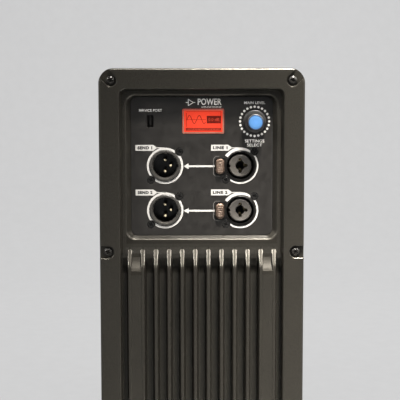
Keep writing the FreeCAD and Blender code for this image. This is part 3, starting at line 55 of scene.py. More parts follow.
# ------------------------------------------------------------------ materials


class Graph:
    """A small helper that writes shader nodes in rows."""

    def __init__(self, name):
        self.material = bpy.data.materials.new(name)
        self.material.use_nodes = True
        self.tree = self.material.node_tree
        self.shader = self.tree.nodes["Principled BSDF"]
        self.coords = self.add("ShaderNodeTexCoord").outputs["Object"]

    def add(self, kind, **settings):
        node = self.tree.nodes.new(kind)
        for key, value in settings.items():
            setattr(node, key, value)
        return node

    def feed(self, socket, value):
        """Give a socket another node's output, a colour or a plain value."""
        if isinstance(value, bpy.types.NodeSocket):
            self.tree.links.new(value, socket)
        elif socket.type == "RGBA":
            socket.default_value = (*value, 1)
        else:
            socket.default_value = value

    def put(self, name, value):
        self.feed(self.shader.inputs[name], value)

    def put_all(self, values):
        """Shader inputs given as keywords, with _ for a space."""
        for key, value in values.items():
            self.put(key.replace("_", " "), value)

    def noise(self, scale, detail=3.0, rough=0.55, stretch=None):
        node = self.add("ShaderNodeTexNoise")
        node.inputs["Scale"].default_value = scale
        node.inputs["Detail"].default_value = detail
        node.inputs["Roughness"].default_value = rough
        source = self.coords
        if stretch:
            mapping = self.add("ShaderNodeMapping")
            mapping.inputs["Scale"].default_value = stretch
            self.feed(mapping.inputs["Vector"], self.coords)
            source = mapping.outputs["Vector"]
        self.feed(node.inputs["Vector"], source)
        return node.outputs["Fac"]

    def axes(self):
        """The object's own X, Y and Z as three values."""
        node = self.add("ShaderNodeSeparateXYZ")
        self.feed(node.inputs[0], self.coords)
        return node.outputs["X"], node.outputs["Y"], node.outputs["Z"]

    def span(self, value, low, high, start=0.3, end=0.7):
        """A value's range from start to end, carried over to low to high."""
        node = self.add("ShaderNodeMapRange")
        node.inputs["From Min"].default_value = start
        node.inputs["From Max"].default_value = end
        node.inputs["To Min"].default_value = low
        node.inputs["To Max"].default_value = high
        self.feed(node.inputs["Value"], value)
        return node.outputs["Result"]

    def blend(self, value, low, high, start=0.3, end=0.7):
        """A colour that runs from low to high with a value."""
        node = self.add("ShaderNodeValToRGB")
        stops = node.color_ramp.elements
        for stop, position, color in zip(stops, (start, end), (low, high)):
            stop.position = position
            stop.color = (*color, 1)
        self.feed(node.inputs["Fac"], value)
        return node.outputs["Color"]

    def mix(self, factor, a, b, blend_type="MIX"):
        node = self.add("ShaderNodeMix", data_type="RGBA", blend_type=blend_type)
        self.feed(node.inputs["Factor"], factor)
        self.feed(node.inputs["A"], a)
        self.feed(node.inputs["B"], b)
        return node.outputs["Result"]

    def calc(self, operation, *values):
        node = self.add("ShaderNodeMath", operation=operation)
        for socket, value in zip(node.inputs, values):
            self.feed(socket, value)
        return node.outputs[0]

    def vector(self, operation, *values):
        node = self.add("ShaderNodeVectorMath", operation=operation)
        for socket, value in zip(node.inputs, values):
            self.feed(socket, value)
        return node.outputs["Value" if operation == "LENGTH" else "Vector"]

    def within(self, value, low, high, soft):
        """One between two values, falling to nothing over a margin outside them."""
        rise = self.span(value, 0.0, 1.0, low - soft, low)
        fall = self.span(value, 1.0, 0.0, high, high + soft)
        return self.calc("MULTIPLY", rise, fall)

    def bump(self, value, strength, distance):
        node = self.add("ShaderNodeBump")
        node.inputs["Strength"].default_value = strength
        node.inputs["Distance"].default_value = distance
        self.feed(node.inputs["Height"], value)
        self.put("Normal", node.outputs["Normal"])


def grey(value):
    return (value, value, value)


def surface(name, dark, light, grain, rough, bump=0.0, metallic=0.0, depth=0.05, stretch=None, **more):
    """A finish with fine colour variation, uneven gloss and a fine relief. Grain is in features per metre,
    the depth of the relief in millimetres."""
    g = Graph(name)
    broad = g.noise(grain / 12, 2.0)
    fine = g.noise(grain, 4.0, 0.65, stretch)
    mixed = g.calc("MULTIPLY_ADD", fine, 0.7, g.span(broad, 0.0, 0.3, 0.0, 1.0))
    g.put("Base Color", g.blend(mixed, dark, light, 0.34, 0.66))
    g.put("Roughness", g.span(broad, *rough))
    g.put("Metallic", metallic)
    if bump:
        g.bump(fine, bump, depth * MM)
    g.put_all(more)
    return g.material


# The cooling ribs in millimetres: their pitch, how far to each side they stand, the y of their tops
# and the z of both ends of their heads.
RIB_PITCH = 8.77
RIB_REACH = 50.5
RIB_TOP = -2.6
RIB_ENDS = (47.6, 60.0)


def painted_rib_highlight(g, place, side, shine):
    """Painted highlight: the shine is raised along the edges of the rib heads and lowered on the middles of
    their tops, to draw bright edge lines.
    """
    half = RIB_PITCH / 2
    between = g.calc("PINGPONG", place[0], half * MM)
    edge = g.span(between, 1.3, -0.62, (half - 0.8) * MM, (half - 0.3) * MM)
    across = g.within(side, 0.0, RIB_REACH * MM, MM)
    along = g.within(place[2], RIB_ENDS[0] * MM, RIB_ENDS[1] * MM, MM)
    deep = g.within(place[1], -20 * MM, RIB_TOP * MM, 0.2 * MM)
    zone = g.calc("MULTIPLY", g.calc("MULTIPLY", across, along), deep)
    return g.calc("MULTIPLY", shine, g.calc("MULTIPLY_ADD", zone, edge, 1.0))


def coated(name, dark, light, rough, speck, bump, dull_and_shaded=(), ribs=False, **more):
    """Textured powder coat over a casting: two sizes of pebble and a little pale speckle.
    Dull and shaded zones are ranges of x to either side, of y and of z, in millimetres, then the roughness
    they gain and the part of the shine they lose. The lost shine darkens them as painted shade."""
    g = Graph(name)
    pebble = g.noise(1500, 4.0, 0.6)
    fine = g.noise(4200, 3.0, 0.7)
    cloud = g.noise(38, 3.0)
    relief = g.calc("ADD", g.span(pebble, 0.0, 0.62, 0.32, 0.68), g.span(fine, 0.0, 0.38))
    shade = g.blend(cloud, grey(0.9), (1.06, 1.05, 1.03))
    tone = g.mix(1.0, g.blend(relief, dark, light, 0.12, 0.9), shade, "MULTIPLY")
    g.put("Base Color", g.mix(g.span(fine, 0.0, 0.16, 0.66, 0.74), tone, speck))
    gloss = g.span(pebble, *rough)
    shine = g.span(fine, 0.28, 0.72, 0.36, 0.64)
    place = g.axes()
    side = g.calc("ABSOLUTE", place[0])
    for *box, spread, loss in dull_and_shaded:
        x0, x1, y0, y1, z0, z1 = (edge * MM for edge in box)
        across = g.within(side, x0, x1, MM)
        deep = g.within(place[1], y0, y1, MM)
        along = g.within(place[2], z0, z1, MM)
        zone = g.calc("MULTIPLY", g.calc("MULTIPLY", across, along), deep)
        gloss = g.calc("MULTIPLY_ADD", zone, spread, gloss)
        shine = g.calc("MULTIPLY", shine, g.calc("MULTIPLY_ADD", zone, -loss, 1.0))
    # painted highlight lines along the rib heads of the cast coat
    if ribs:
        shine = painted_rib_highlight(g, place, side, shine)
    g.put("Roughness", gloss)
    g.put("Specular IOR Level", shine)
    g.bump(relief, bump, 0.06 * MM)
    g.put_all(more)
    return g.material


def painted_bore_shade(name, near, far, start, end, rough, metallic=0.0):
    """Painted shade: a colour that turns darker with depth behind the panel, standing in for the shade on the
    walls of a narrow bore.
    """
    g = Graph(name)
    grain = g.noise(2200, 4.0, 0.65)
    outside = g.blend(grain, tuple(0.75 * c for c in near), tuple(1.25 * c for c in near))
    g.put("Base Color", g.mix(g.span(g.axes()[1], 0.0, 1.0, start, end), outside, far))
    g.put("Roughness", g.span(g.noise(180, 2.0), *rough))
    g.put("Metallic", metallic)
    g.bump(grain, 0.12, 0.05 * MM)
    return g.material


def lit(name, color, glow, edge, centre, reach, rough=0.25, gloss=0.4, shine=0.5):
    """A glowing face, brighter at its centre point: a lit plastic face, and on the printed ring dots a
    painted glow.
    """
    g = Graph(name)
    offset = g.vector("SUBTRACT", g.coords, centre)
    squashed = g.vector("MULTIPLY", offset, (1 / reach[0], 0.0, 1 / reach[1]))
    mottled = g.calc("ADD", g.vector("LENGTH", squashed), g.span(g.noise(900, 3.0), -0.12, 0.12))
    g.put("Base Color", color)
    g.put("Emission Color", g.blend(mottled, glow, edge, 0.15, 1.15))
    g.put("Emission Strength", 1.0)
    g.put("Roughness", rough)
    g.put("Specular IOR Level", shine)
    g.put("Coat Weight", gloss)
    g.put("Coat Roughness", 0.08)
    return g.material


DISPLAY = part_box("lcd_window")
DISPLAY_MID = (DISPLAY[0] + DISPLAY[1]) / 2
DISPLAY_SIZE = DISPLAY[1] - DISPLAY[0]
DISPLAY_GLOW = (tuple(DISPLAY_MID), (DISPLAY_SIZE.x * 0.6, DISPLAY_SIZE.z * 0.6))
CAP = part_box("knob_cap")
CAP_MID = (CAP[0] + CAP[1]) / 2
CAP_GLOW = (tuple(CAP_MID), (0.0044, 0.0044))
# Depths in metres where the painted shade in the output bores and along their pins begins, and where it is
# full.
BORE_RIM = 0.0022
BORE_DARK = 0.0034
PIN_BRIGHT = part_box("output_1_pins")[0].y + 0.00005
PIN_DARK = PIN_BRIGHT + 0.0004

# Zones where the cast coat turns rougher and loses shine. The lost shine darkens them as painted shade; the
# floor between the rib heads only loses shine.
DULL_AND_SHADED_ZONES = (
    # tops of the side bars, just below the rib heads
    (40.6, 47.2, -9.0, 9.0, 43.0, 56.0, 0.26, 0.82),
    # step under the control pocket
    (0.0, 50.0, -9.0, 9.0, 63.5, 69.0, 0.03, 0.55),
    # floor between the rib heads
    (0.0, 53.0, -1.2, 9.0, 43.0, 56.5, 0.0, 0.75),
)

MATERIALS = {
    "cast": coated(
        "cast_powder_coat",
        (0.0045, 0.0042, 0.0035),
        (0.0122, 0.0113, 0.0095),
        (0.27, 0.37),
        (0.06, 0.055, 0.048),
        0.5,
        DULL_AND_SHADED_ZONES,
        True,
        Specular_Tint=(1.0, 0.95, 0.84),
    ),
    "cover": coated("cover_coat", grey(0.022), grey(0.04), (0.42, 0.52), grey(0.09), 0.35),
    "plate": coated("plate_coat", grey(0.016), grey(0.03), (0.45, 0.55), grey(0.06), 0.3),
    "film": surface(
        "panel_film", (0.0044, 0.0039, 0.0034), (0.0094, 0.0084, 0.0073), 2600, (0.33, 0.43), 0.25
    ),
    "ink": surface("white_ink", (0.275, 0.27, 0.26), (0.335, 0.33, 0.32), 1800, (0.5, 0.62), 0.1),
    # Painted light: the same white print as white_ink, made brighter to make up for the weaker light on the
    # legends near the top of the panel and beside the knob.
    "legend": surface("legend_ink_painted_brighter", (0.58, 0.57, 0.555), (0.7, 0.69, 0.67), 1800, (0.5, 0.62), 0.1),
    "grey_ink": surface("grey_ink", (0.08, 0.077, 0.072), (0.12, 0.115, 0.108), 1800, (0.5, 0.62), 0.1),
    "dark_ink": surface("dark_ink", grey(0.004), (0.01, 0.0095, 0.009), 1800, (0.5, 0.6), 0.1),
    "screw": surface(
        "black_screw",
        (0.006, 0.0056, 0.005),
        (0.016, 0.015, 0.0135),
        900,
        (0.3, 0.42),
        0.3,
        0.2,
        Specular_IOR_Level=0.3,
    ),
    "small_screw": surface(
        "glossy_screw",
        grey(0.004),
        (0.012, 0.0115, 0.011),
        900,
        (0.14, 0.22),
        0.3,
        0.2,
        Specular_IOR_Level=0.35,
    ),
    "gasket": surface("foam_gasket", grey(0.008), grey(0.02), 1500, (0.85, 0.95), 0.6),
    "knob": surface(
        "knob_black", grey(0.004), grey(0.009), 1600, (0.36, 0.46), 0.1, Specular_IOR_Level=0.4
    ),
    "black": surface("moulded_black", grey(0.006), (0.013, 0.012, 0.012), 2200, (0.3, 0.42), 0.15),
    "collar": surface(
        "glossy_black", grey(0.002), (0.006, 0.0056, 0.005), 2200, (0.28, 0.38), 0.12, Specular_IOR_Level=0.22
    ),
    # output housing: its colour is painted darker down the bore as painted shade
    "nose": painted_bore_shade(
        "moulded_nose_painted_shade", (0.021, 0.02, 0.0183), (0.003, 0.0026, 0.0022), BORE_RIM, BORE_DARK, (0.24, 0.36)
    ),
    "socket": surface("socket_shell", (0.045, 0.04, 0.036), (0.075, 0.068, 0.06), 2200, (0.4, 0.5), 0.15),
    "insert": surface(
        "insert_grey", (0.028, 0.0255, 0.0225), (0.046, 0.0425, 0.038), 2200, (0.3, 0.42), 0.15
    ),
    "gold": surface("gold_plate", (0.6, 0.48, 0.27), (0.78, 0.66, 0.42), 700, (0.26, 0.4), 0.1, 0.8),
    # contact pins: gold at their tips, painted dark further in as painted shade
    "pin": painted_bore_shade(
        "gold_pin_painted_shade", (0.5, 0.44, 0.31), (0.012, 0.009, 0.005), PIN_BRIGHT, PIN_DARK, (0.26, 0.36), 0.5
    ),
    "latch": surface(
        "latch_nickel", (0.035, 0.021, 0.015), (0.19, 0.136, 0.103), 950, (0.32, 0.5), 0.8, 0.7, 0.12
    ),
    # Painted highlight: a lighter copy of the latch metal on the raised marks, standing in for the glints
    # they catch.
    "latch_painted_glint": surface(
        "latch_painted_glint", (0.09, 0.063, 0.048), (0.33, 0.25, 0.2), 950, (0.3, 0.42), 0.5, 0.7, 0.1
    ),
    "steel": surface("bare_steel", grey(0.45), grey(0.62), 900, (0.25, 0.38), 0.1, 1.0, stretch=(1, 0.1, 1)),
    "tinned": surface("tinned_sheet", (0.5, 0.5, 0.48), (0.66, 0.66, 0.64), 600, (0.3, 0.42), 0.1, 1.0),
    "zinc": surface("zinc_plate", (0.5, 0.52, 0.5), (0.68, 0.68, 0.62), 500, (0.28, 0.42), 0.12, 1.0),
    "blue": surface("mains_blue", (0.006, 0.026, 0.12), (0.011, 0.042, 0.17), 2000, (0.36, 0.48), 0.15),
    "light_grey": surface("mains_grey", (0.11, 0.11, 0.114), (0.15, 0.15, 0.155), 2000, (0.36, 0.48), 0.15),
    "red": surface(
        "rocker_red", (0.17, 0.007, 0.006), (0.24, 0.011, 0.009), 1500, (0.16, 0.26), 0.05, Coat_Weight=0.4
    ),
    "board": surface("solder_mask", (0.008, 0.1, 0.035), (0.016, 0.16, 0.06), 400, (0.3, 0.42), 0.1),
    "epoxy": surface("epoxy_black", grey(0.01), grey(0.022), 1800, (0.5, 0.62), 0.2),
    "pad": surface("silicone_pad", (0.4, 0.42, 0.46), (0.52, 0.54, 0.58), 900, (0.7, 0.8), 0.1),
    "can": surface("can_sleeve", (0.012, 0.013, 0.03), (0.025, 0.027, 0.05), 500, (0.2, 0.3), 0.05),
    "copper": surface(
        "enamelled_copper",
        (0.4, 0.12, 0.03),
        (0.66, 0.26, 0.09),
        1200,
        (0.25, 0.36),
        0.6,
        0.8,
        stretch=(1, 0.2, 1),
    ),
    "ferrite": surface("ferrite", (0.03, 0.03, 0.032), (0.06, 0.06, 0.063), 1500, (0.55, 0.7), 0.3),
    "glass": surface("fuse_glass", (0.6, 0.62, 0.6), (0.75, 0.76, 0.74), 500, (0.1, 0.2), 0.05),
    "cable": surface(
        "flat_cable", (0.3, 0.3, 0.32), (0.4, 0.4, 0.42), 600, (0.5, 0.6), 0.4, stretch=(1, 0.02, 0.02)
    ),
    "wire": surface("wire_brown", (0.09, 0.035, 0.012), (0.14, 0.055, 0.02), 900, (0.4, 0.5), 0.1),
    "nylon": surface("nylon_black", grey(0.012), grey(0.024), 1600, (0.45, 0.55), 0.15),
    "guide": surface("light_guide", (0.75, 0.75, 0.73), (0.85, 0.85, 0.83), 700, (0.3, 0.4), 0.05),
    # Painted light: a pale reddish colour standing in for the backlight's glow at the window's edge.
    "painted_edge_glow": surface("window_edge_painted_glow", (0.1, 0.05, 0.035), (0.17, 0.09, 0.065), 1500, (0.35, 0.5), 0.1),
    "display": lit(
        "display_red",
        (0.12, 0.01, 0.006),
        (0.76, 0.055, 0.022),
        (0.58, 0.034, 0.014),
        *DISPLAY_GLOW,
        0.3,
        0.0,
        0.15,
    ),
    "display_text": surface(
        "display_text",
        (0.26, 0.03, 0.015),
        (0.34, 0.042, 0.024),
        2400,
        (0.3, 0.4),
        0.02,
        Specular_IOR_Level=0.15,
    ),
    "display_dark": surface(
        "display_dark",
        (0.05, 0.003, 0.0015),
        (0.09, 0.006, 0.003),
        2400,
        (0.3, 0.4),
        0.02,
        Specular_IOR_Level=0.15,
    ),
    "cap": lit(
        "knob_lit_blue",
        (0.012, 0.04, 0.08),
        (0.12, 0.28, 0.62),
        (0.095, 0.225, 0.5),
        *CAP_GLOW,
        0.6,
        0.0,
        0.1,
    ),
    "halo": lit(
        "light_ring", (0.01, 0.018, 0.03), (0.03, 0.06, 0.13), (0.02, 0.04, 0.09), *CAP_GLOW, 0.5, 0.0, 0.2
    ),
    # Painted light: the printed dots glow, which keeps them evenly bright where the knob shades them.
    "dots": lit("ring_dots_painted_glow", (0.22, 0.215, 0.2), (0.4, 0.39, 0.37), (0.36, 0.35, 0.33), *CAP_GLOW, 0.5, 0.0),
}

FINISH = {
    "heatsink_chassis": "cast",
    "flange_gasket": "gasket",
    "control_overlay": "film",
    "mains_overlay": "film",
    "mounting_screws": "screw",
    "lcd_window": "display",
    "lcd_glass": "display",
    "lcd_backlight": "guide",
    "lcd_holder": "tinned",
    "knob_body": "knob",
    "knob_cap": "cap",
    "encoder_shaft": "steel",
    "encoder_rotor": "black",
    "encoder_housing": "tinned",
    "encoder_nut": "zinc",
    "usb_socket": "socket",
    "control_plate": "plate",
    "mains_plate": "plate",
    "plate_screws": "small_screw",
    "panel_screws": "small_screw",
    "mains_inlet_housing": "blue",
    "mains_link_housing": "light_grey",
    "mains_contacts": "gold",
    "switch_frame": "black",
    "switch_rocker": "red",
    "control_board": "board",
    "io_board": "board",
    "dsp_board": "board",
    "power_board": "board",
    "board_standoffs": "zinc",
    "board_screws": "zinc",
    "power_transistors": "epoxy",
    "insulating_pads": "pad",
    "transistor_clamps": "zinc",
    "clamp_screws": "zinc",
    "bulk_capacitors": "can",
    "output_inductors": "copper",
    "transformer_core": "ferrite",
    "transformer_winding": "copper",
    "choke_core": "ferrite",
    "choke_winding": "copper",
    "bridge_rectifier": "epoxy",
    "line_fuse": "glass",
    "ribbon_cable": "cable",
    "mains_harness": "wire",
    "rear_cover": "cover",
    "cover_screws": "zinc",
    "output_terminal": "nylon",
}
for number in (1, 2):
    FINISH[f"output_{number}_housing"] = "nose"
    FINISH[f"output_{number}_pins"] = "pin"
    FINISH[f"input_{number}_housing"] = "collar"
    FINISH[f"input_{number}_insert"] = "insert"
    FINISH[f"input_{number}_contacts"] = "gold"
    FINISH[f"input_{number}_latch"] = "latch"
for node, finish in FINISH.items():
    mesh = NODES[node].data
    mesh.materials.clear()
    mesh.materials.append(MATERIALS[finish])

# ------------------------------------------------------------------ thin pieces


def place_piece(name, mesh, finish, body):
    """A mesh as a named piece with one finish, riding on a body."""
    mesh.name = name
    mesh.materials.clear()
    mesh.materials.append(MATERIALS[finish])
    piece = bpy.data.objects.new(name, mesh)
    bpy.context.scene.collection.objects.link(piece)
    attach(piece, body)
    return piece


def add_piece(name, bm, finish, body=ROOT):
    mesh = bpy.data.meshes.new(name)
    bmesh.ops.recalc_face_normals(bm, faces=bm.faces)
    bm.to_mesh(mesh)
    bm.free()
    return place_piece(name, mesh, finish, body)


def prism(bm, outline, front, back):
    """A flat shape in X and Z, given in millimetres, made solid between two depths."""
    near = [bm.verts.new((x * MM, front * MM, z * MM)) for x, z in outline]
    far = [bm.verts.new((x * MM, back * MM, z * MM)) for x, z in outline]
    bm.faces.new(near)
    bm.faces.new(far[::-1])
    count = len(outline)
    for i in range(count):
        j = (i + 1) % count
        bm.faces.new((near[i], far[i], far[j], near[j]))


SHARPEST_CORNER = 0.35


def band(bm, rails, front, back):
    """A solid strip between pairs of points, open at its ends or closed if its last pair meets its first."""
    closed = rails[0] == rails[-1]
    pairs = rails[:-1] if closed else rails
    rings = []
    for a, b in pairs:
        corners = ((a, front), (b, front), (b, back), (a, back))
        rings.append([bm.verts.new((p[0] * MM, y * MM, p[1] * MM)) for p, y in corners])
    steps = len(rings) if closed else len(rings) - 1
    for i in range(steps):
        one, two = rings[i], rings[(i + 1) % len(rings)]
        for k in range(4):
            m = (k + 1) % 4
            bm.faces.new((one[k], one[m], two[m], two[k]))
    if not closed:
        bm.faces.new(rings[0])
        bm.faces.new(rings[-1][::-1])


def disc_outline(x, z, r, count=20):
    angles = [2 * math.pi * i / count for i in range(count)]
    return [(x + r * math.cos(t), z + r * math.sin(t)) for t in angles]


def stroke(bm, points, width, front, back):
    """A line of even width through points, with its corners kept from running out into spikes."""
    rails = []
    for i, (x, z) in enumerate(points):
        before = points[max(i - 1, 0)]
        after = points[min(i + 1, len(points) - 1)]
        if i in (0, len(points) - 1):
            dx, dz = after[0] - before[0], after[1] - before[1]
            size = math.hypot(dx, dz)
            reach = width / 2
        else:
            ax, az = x - before[0], z - before[1]
            bx, bz = after[0] - x, after[1] - z
            la, lb = math.hypot(ax, az), math.hypot(bx, bz)
            dx, dz = ax / la + bx / lb, az / la + bz / lb
            size = math.hypot(dx, dz)
            reach = width / 2 / max(SHARPEST_CORNER, size / 2)
        nx, nz = -dz / size, dx / size
        rails.append(((x + nx * reach, z + nz * reach), (x - nx * reach, z - nz * reach)))
    band(bm, rails, front, back)


def lettering(name, text, x, z, width, height, finish, front, bold=0.02, slot="panel_film", thick=0.03):
    """Plain lettering as a thin solid, fitted to a width and a height about its middle.
    Bold thickens the strokes, as a part of the letters' own size."""
    curve = bpy.data.curves.new(name, "FONT")
    curve.body = text
    curve.extrude = 0.5  # one unit thick before it is fitted
    curve.offset = bold
    curve.resolution_u = 3
    curve.space_character = 1.0 + 2 * bold
    holder = bpy.data.objects.new(name + "_line", curve)
    bpy.context.scene.collection.objects.link(holder)
    bpy.context.view_layer.update()
    mesh = bpy.data.meshes.new_from_object(holder)
    bpy.data.objects.remove(holder)
    low = [min(v.co[i] for v in mesh.vertices) for i in range(3)]
    high = [max(v.co[i] for v in mesh.vertices) for i in range(3)]
    sx = width / (high[0] - low[0])
    sz = height / (high[1] - low[1])
    mid_x = (low[0] + high[0]) / 2
    mid_z = (low[1] + high[1]) / 2
    turn = Matrix(
        (
            (sx, 0, 0, x - sx * mid_x),
            (0, 0, -thick, front + thick / 2),
            (0, sz, 0, z - sz * mid_z),
            (0, 0, 0, 1),
        )
    )
    mesh.transform(Matrix.Scale(MM, 4) @ turn)
    place_piece(name, mesh, finish, ROOT)


def centre_of(node):
    low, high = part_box(node)
    return (low.x + high.x) / 2 / MM, (low.z + high.z) / 2 / MM


# ------------------------------------------------------------------ control panel print

# Sizes of the print are in millimetres and its angles in degrees. A tag or an arrow is given by the x
# of its ends, a row by the z of its connectors.
FILM_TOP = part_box("control_overlay")[0].y / MM
INK = 0.03
INK_TOP = FILM_TOP - INK
ROWS = [centre_of(f"output_{n}_housing")[1] for n in (1, 2)]
OUTPUT_X = centre_of("output_1_housing")[0]
INPUT_X = centre_of("input_1_insert")[0]
SCREW_OFFSET = 9.6
SCREW_CLEAR = 3.05
RING_OUTER = 12.15
OUTPUT_RING_INNER = 10.75
INPUT_RING_INNER = 11.05
INPUT_RING_WIDEN = 0.9
WIDEN_TOWARDS = 125.0
LATCH_GAP_ANGLES = (146.0, 214.0)
THINNEST_PRINT = 0.12
RING_STEPS = 360
TAG_HEIGHT = 3.95
TAG_ABOVE = 12.05
TAG_TEXT = (9.9, 2.2)
TAG_BOLD = 0.065
TAG_TEXT_SHIFT = 0.4
TAG_TEXT_RAISE = 0.02
OUTPUT_TAG = (-44.3, -32.4, -29.7)
INPUT_TAG = (6.3, 17.7, 20.4)
LEAD_WIDTH = 0.5
LEAD_OVERLAP = 0.6
ARROW_TAIL, ARROW_HEAD, ARROW_TIP = 8.9, -8.8, -12.3
ARROW_SHAFT, ARROW_WING = 0.62, 1.85
ARROW_DROP = 0.3


def ring_limit(angle, outer):
    """How far the printed ring reaches along a ray before it meets a screw's clear circle."""
    reach = outer
    for screw in (SCREW_OFFSET, -SCREW_OFFSET):
        along = screw * (math.cos(angle) + math.sin(angle))
        aside = abs(screw * (math.cos(angle) - math.sin(angle)))
        if along > 0 and aside < SCREW_CLEAR:
            reach = min(reach, along - math.sqrt(SCREW_CLEAR**2 - aside**2))
    return reach


def printed_ring(name, cx, cz, inner, gap, widen=0.0):
    """White ring around a connector, cut back at its screws and left open over a range of angles.
    It can be made wider towards its upper left."""
    bm = bmesh.new()
    run = []
    start, sweep = gap[1], 360.0 - (gap[1] - gap[0])
    for i in range(RING_STEPS + 1):
        angle = math.radians(start + sweep * i / RING_STEPS)
        outer = ring_limit(angle, RING_OUTER)
        near = inner - widen * max(0.0, math.cos(angle - math.radians(WIDEN_TOWARDS)))
        if outer < near + THINNEST_PRINT:
            if len(run) > 1:
                band(bm, run, INK_TOP, FILM_TOP)
            run = []
            continue
        c, s = math.cos(angle), math.sin(angle)
        run.append(((cx + near * c, cz + near * s), (cx + outer * c, cz + outer * s)))
    if len(run) > 1:
        band(bm, run, INK_TOP, FILM_TOP)
    add_piece(name, bm, "ink")


def printed_tag(name, place, cz, ring_x, words):
    """Pointed tag with a thin lead line to the top of the connector's ring."""
    left, right, tip = place
    bm = bmesh.new()
    middle = cz + TAG_ABOVE
    low, high = middle - TAG_HEIGHT / 2, middle + TAG_HEIGHT / 2
    prism(bm, [(left, low), (right, low), (tip, middle), (right, high), (left, high)], INK_TOP, FILM_TOP)
    stroke(bm, [(tip - LEAD_OVERLAP, middle), (ring_x, middle)], LEAD_WIDTH, INK_TOP, FILM_TOP)
    add_piece(name, bm, "ink")
    text_x, text_front = (left + right) / 2 + TAG_TEXT_SHIFT, INK_TOP - TAG_TEXT_RAISE
    lettering(name + "_text", words, text_x, middle, *TAG_TEXT, "dark_ink", text_front, TAG_BOLD)


def printed_arrow(name, cz):
    """Arrow from an input's latch to the output beside it."""
    outline = [(ARROW_TAIL, cz - ARROW_SHAFT), (ARROW_TAIL, cz + ARROW_SHAFT)]
    outline += [(ARROW_HEAD, cz + ARROW_SHAFT), (ARROW_HEAD, cz + ARROW_WING), (ARROW_TIP, cz)]
    outline += [(ARROW_HEAD, cz - ARROW_WING), (ARROW_HEAD, cz - ARROW_SHAFT)]
    bm = bmesh.new()
    prism(bm, outline, INK_TOP, FILM_TOP)
    add_piece(name, bm, "ink")


def latch_outline(name, cz):
    """Thin printed line around the left side of a latch opening, joining the ring's two ends."""
    low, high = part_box("input_1_latch")
    margin, drop, length, bend, width = 1.5, 0.4, 4.0, 1.4, 0.24
    left = low.x / MM - margin
    half = (high.z - low.z) / MM / 2 + margin
    middle = cz - drop
    right = left + length
    points = [(right, middle + half), (left + bend, middle + half), (left, middle + half - bend)]
    points += [(left, middle - half + bend), (left + bend, middle - half), (right, middle - half)]
    bm = bmesh.new()
    stroke(bm, points, width, INK_TOP, FILM_TOP)
    add_piece(name, bm, "grey_ink")


for number, row in enumerate(ROWS, start=1):
    printed_ring(f"output_{number}_ring", OUTPUT_X, row, OUTPUT_RING_INNER, (0.0, 0.0))
    printed_ring(
        f"input_{number}_ring", INPUT_X, row, INPUT_RING_INNER, LATCH_GAP_ANGLES, INPUT_RING_WIDEN
    )
    printed_tag(f"output_{number}_tag", OUTPUT_TAG, row, OUTPUT_X, f"SEND {number}")
    printed_tag(f"input_{number}_tag", INPUT_TAG, row, INPUT_X, f"LINE {number}")
    printed_arrow(f"link_{number}_arrow", row - ARROW_DROP)
    latch_outline(f"input_{number}_latch_outline", row)

KNOB = centre_of("knob_body")
DOT_COUNT, DOT_RING, DOT_R = 24, 9.74, 0.78
bm = bmesh.new()
for i in range(DOT_COUNT):
    angle = math.radians(90 + 360 * i / DOT_COUNT)
    x = KNOB[0] + DOT_RING * math.cos(angle)
    z = KNOB[1] + DOT_RING * math.sin(angle)
    prism(bm, disc_outline(x, z, DOT_R), INK_TOP, FILM_TOP)
add_piece("knob_ring_dots", bm, "dots")

# piece, words, middle in x and z, width, height, bold
LEGENDS = (
    ("level_text", "MAIN LEVEL", 35.35, 157.0, 14.0, 1.75, 0.012),
    ("menu_text", "SETTINGS", 35.35, 131.5, 12.9, 2.0, 0.006),
    ("select_text", "SELECT", 35.35, 128.8, 10.0, 1.9, 0.006),
    ("service_text", "SERVICE PORT", -34.1, 152.0, 15.4, 1.75, 0.0),
    ("title_text", "POWER", 5.3, 157.7, 15.8, 4.3, 0.018),
    ("subtitle_text", "AMPLIFIER MODULE", 6.4, 154.2, 13.4, 0.95, 0.0),
)
for name, words, x, z, width, height, bold in LEGENDS:
    lettering(name, words, x, z, width, height, "legend", INK_TOP, bold)


def amplifier_symbol(x, z):
    """The usual circuit sign for an amplifier: a triangle with a lead on each side."""
    base, tip, half, width = x - 1.3, x + 2.1, 2.1, 0.4
    bm = bmesh.new()
    stroke(bm, [(base, z - half), (base, z + half), (tip, z), (base, z - half)], width, INK_TOP, FILM_TOP)
    stroke(bm, [(x - 3.0, z), (base - 0.1, z)], width, INK_TOP, FILM_TOP)
    stroke(bm, [(tip, z), (x + 3.3, z)], width, INK_TOP, FILM_TOP)
    add_piece("title_symbol", bm, "legend")


amplifier_symbol(-7.6, 157.2)

# ------------------------------------------------------------------ mains panel print

INLET = centre_of("mains_inlet_housing")
LINK = centre_of("mains_link_housing")
SWITCH = centre_of("switch_frame")
MAINS_TEXT_ABOVE = 19.4
MAINS_TEXT_HEIGHT = 2.2
for name, words, x, width in (
    ("inlet_text", "MAINS IN", INLET[0], 15.0),
    ("link_text", "MAINS OUT", LINK[0], 17.0),
    ("switch_text", "POWER", SWITCH[0], 10.0),
):
    z = SWITCH[1] + MAINS_TEXT_ABOVE
    lettering(name, words, x, z, width, MAINS_TEXT_HEIGHT, "ink", INK_TOP, 0.015)

# ------------------------------------------------------------------ display picture

GLASS_TOP = DISPLAY[0].y / MM
DX0, DX1 = DISPLAY[0].x / MM, DISPLAY[1].x / MM
DZ0, DZ1 = DISPLAY[0].z / MM, DISPLAY[1].z / MM
PIXEL = 0.02
PICTURE_LEFT, PICTURE_RIGHT = DX0 + 2.6, DX1 - 2.1
PICTURE_BOTTOM, PICTURE_TOP = DZ0 + 2.0, DZ1 - 2.6
WAVE_MIDDLE = (PICTURE_BOTTOM + PICTURE_TOP) / 2 + 1.5
WAVE_LENGTH = 13.2
BLOCK_WIDTH, BLOCK_BELOW, BLOCK_ABOVE = 9.4, 2.6, 2.4


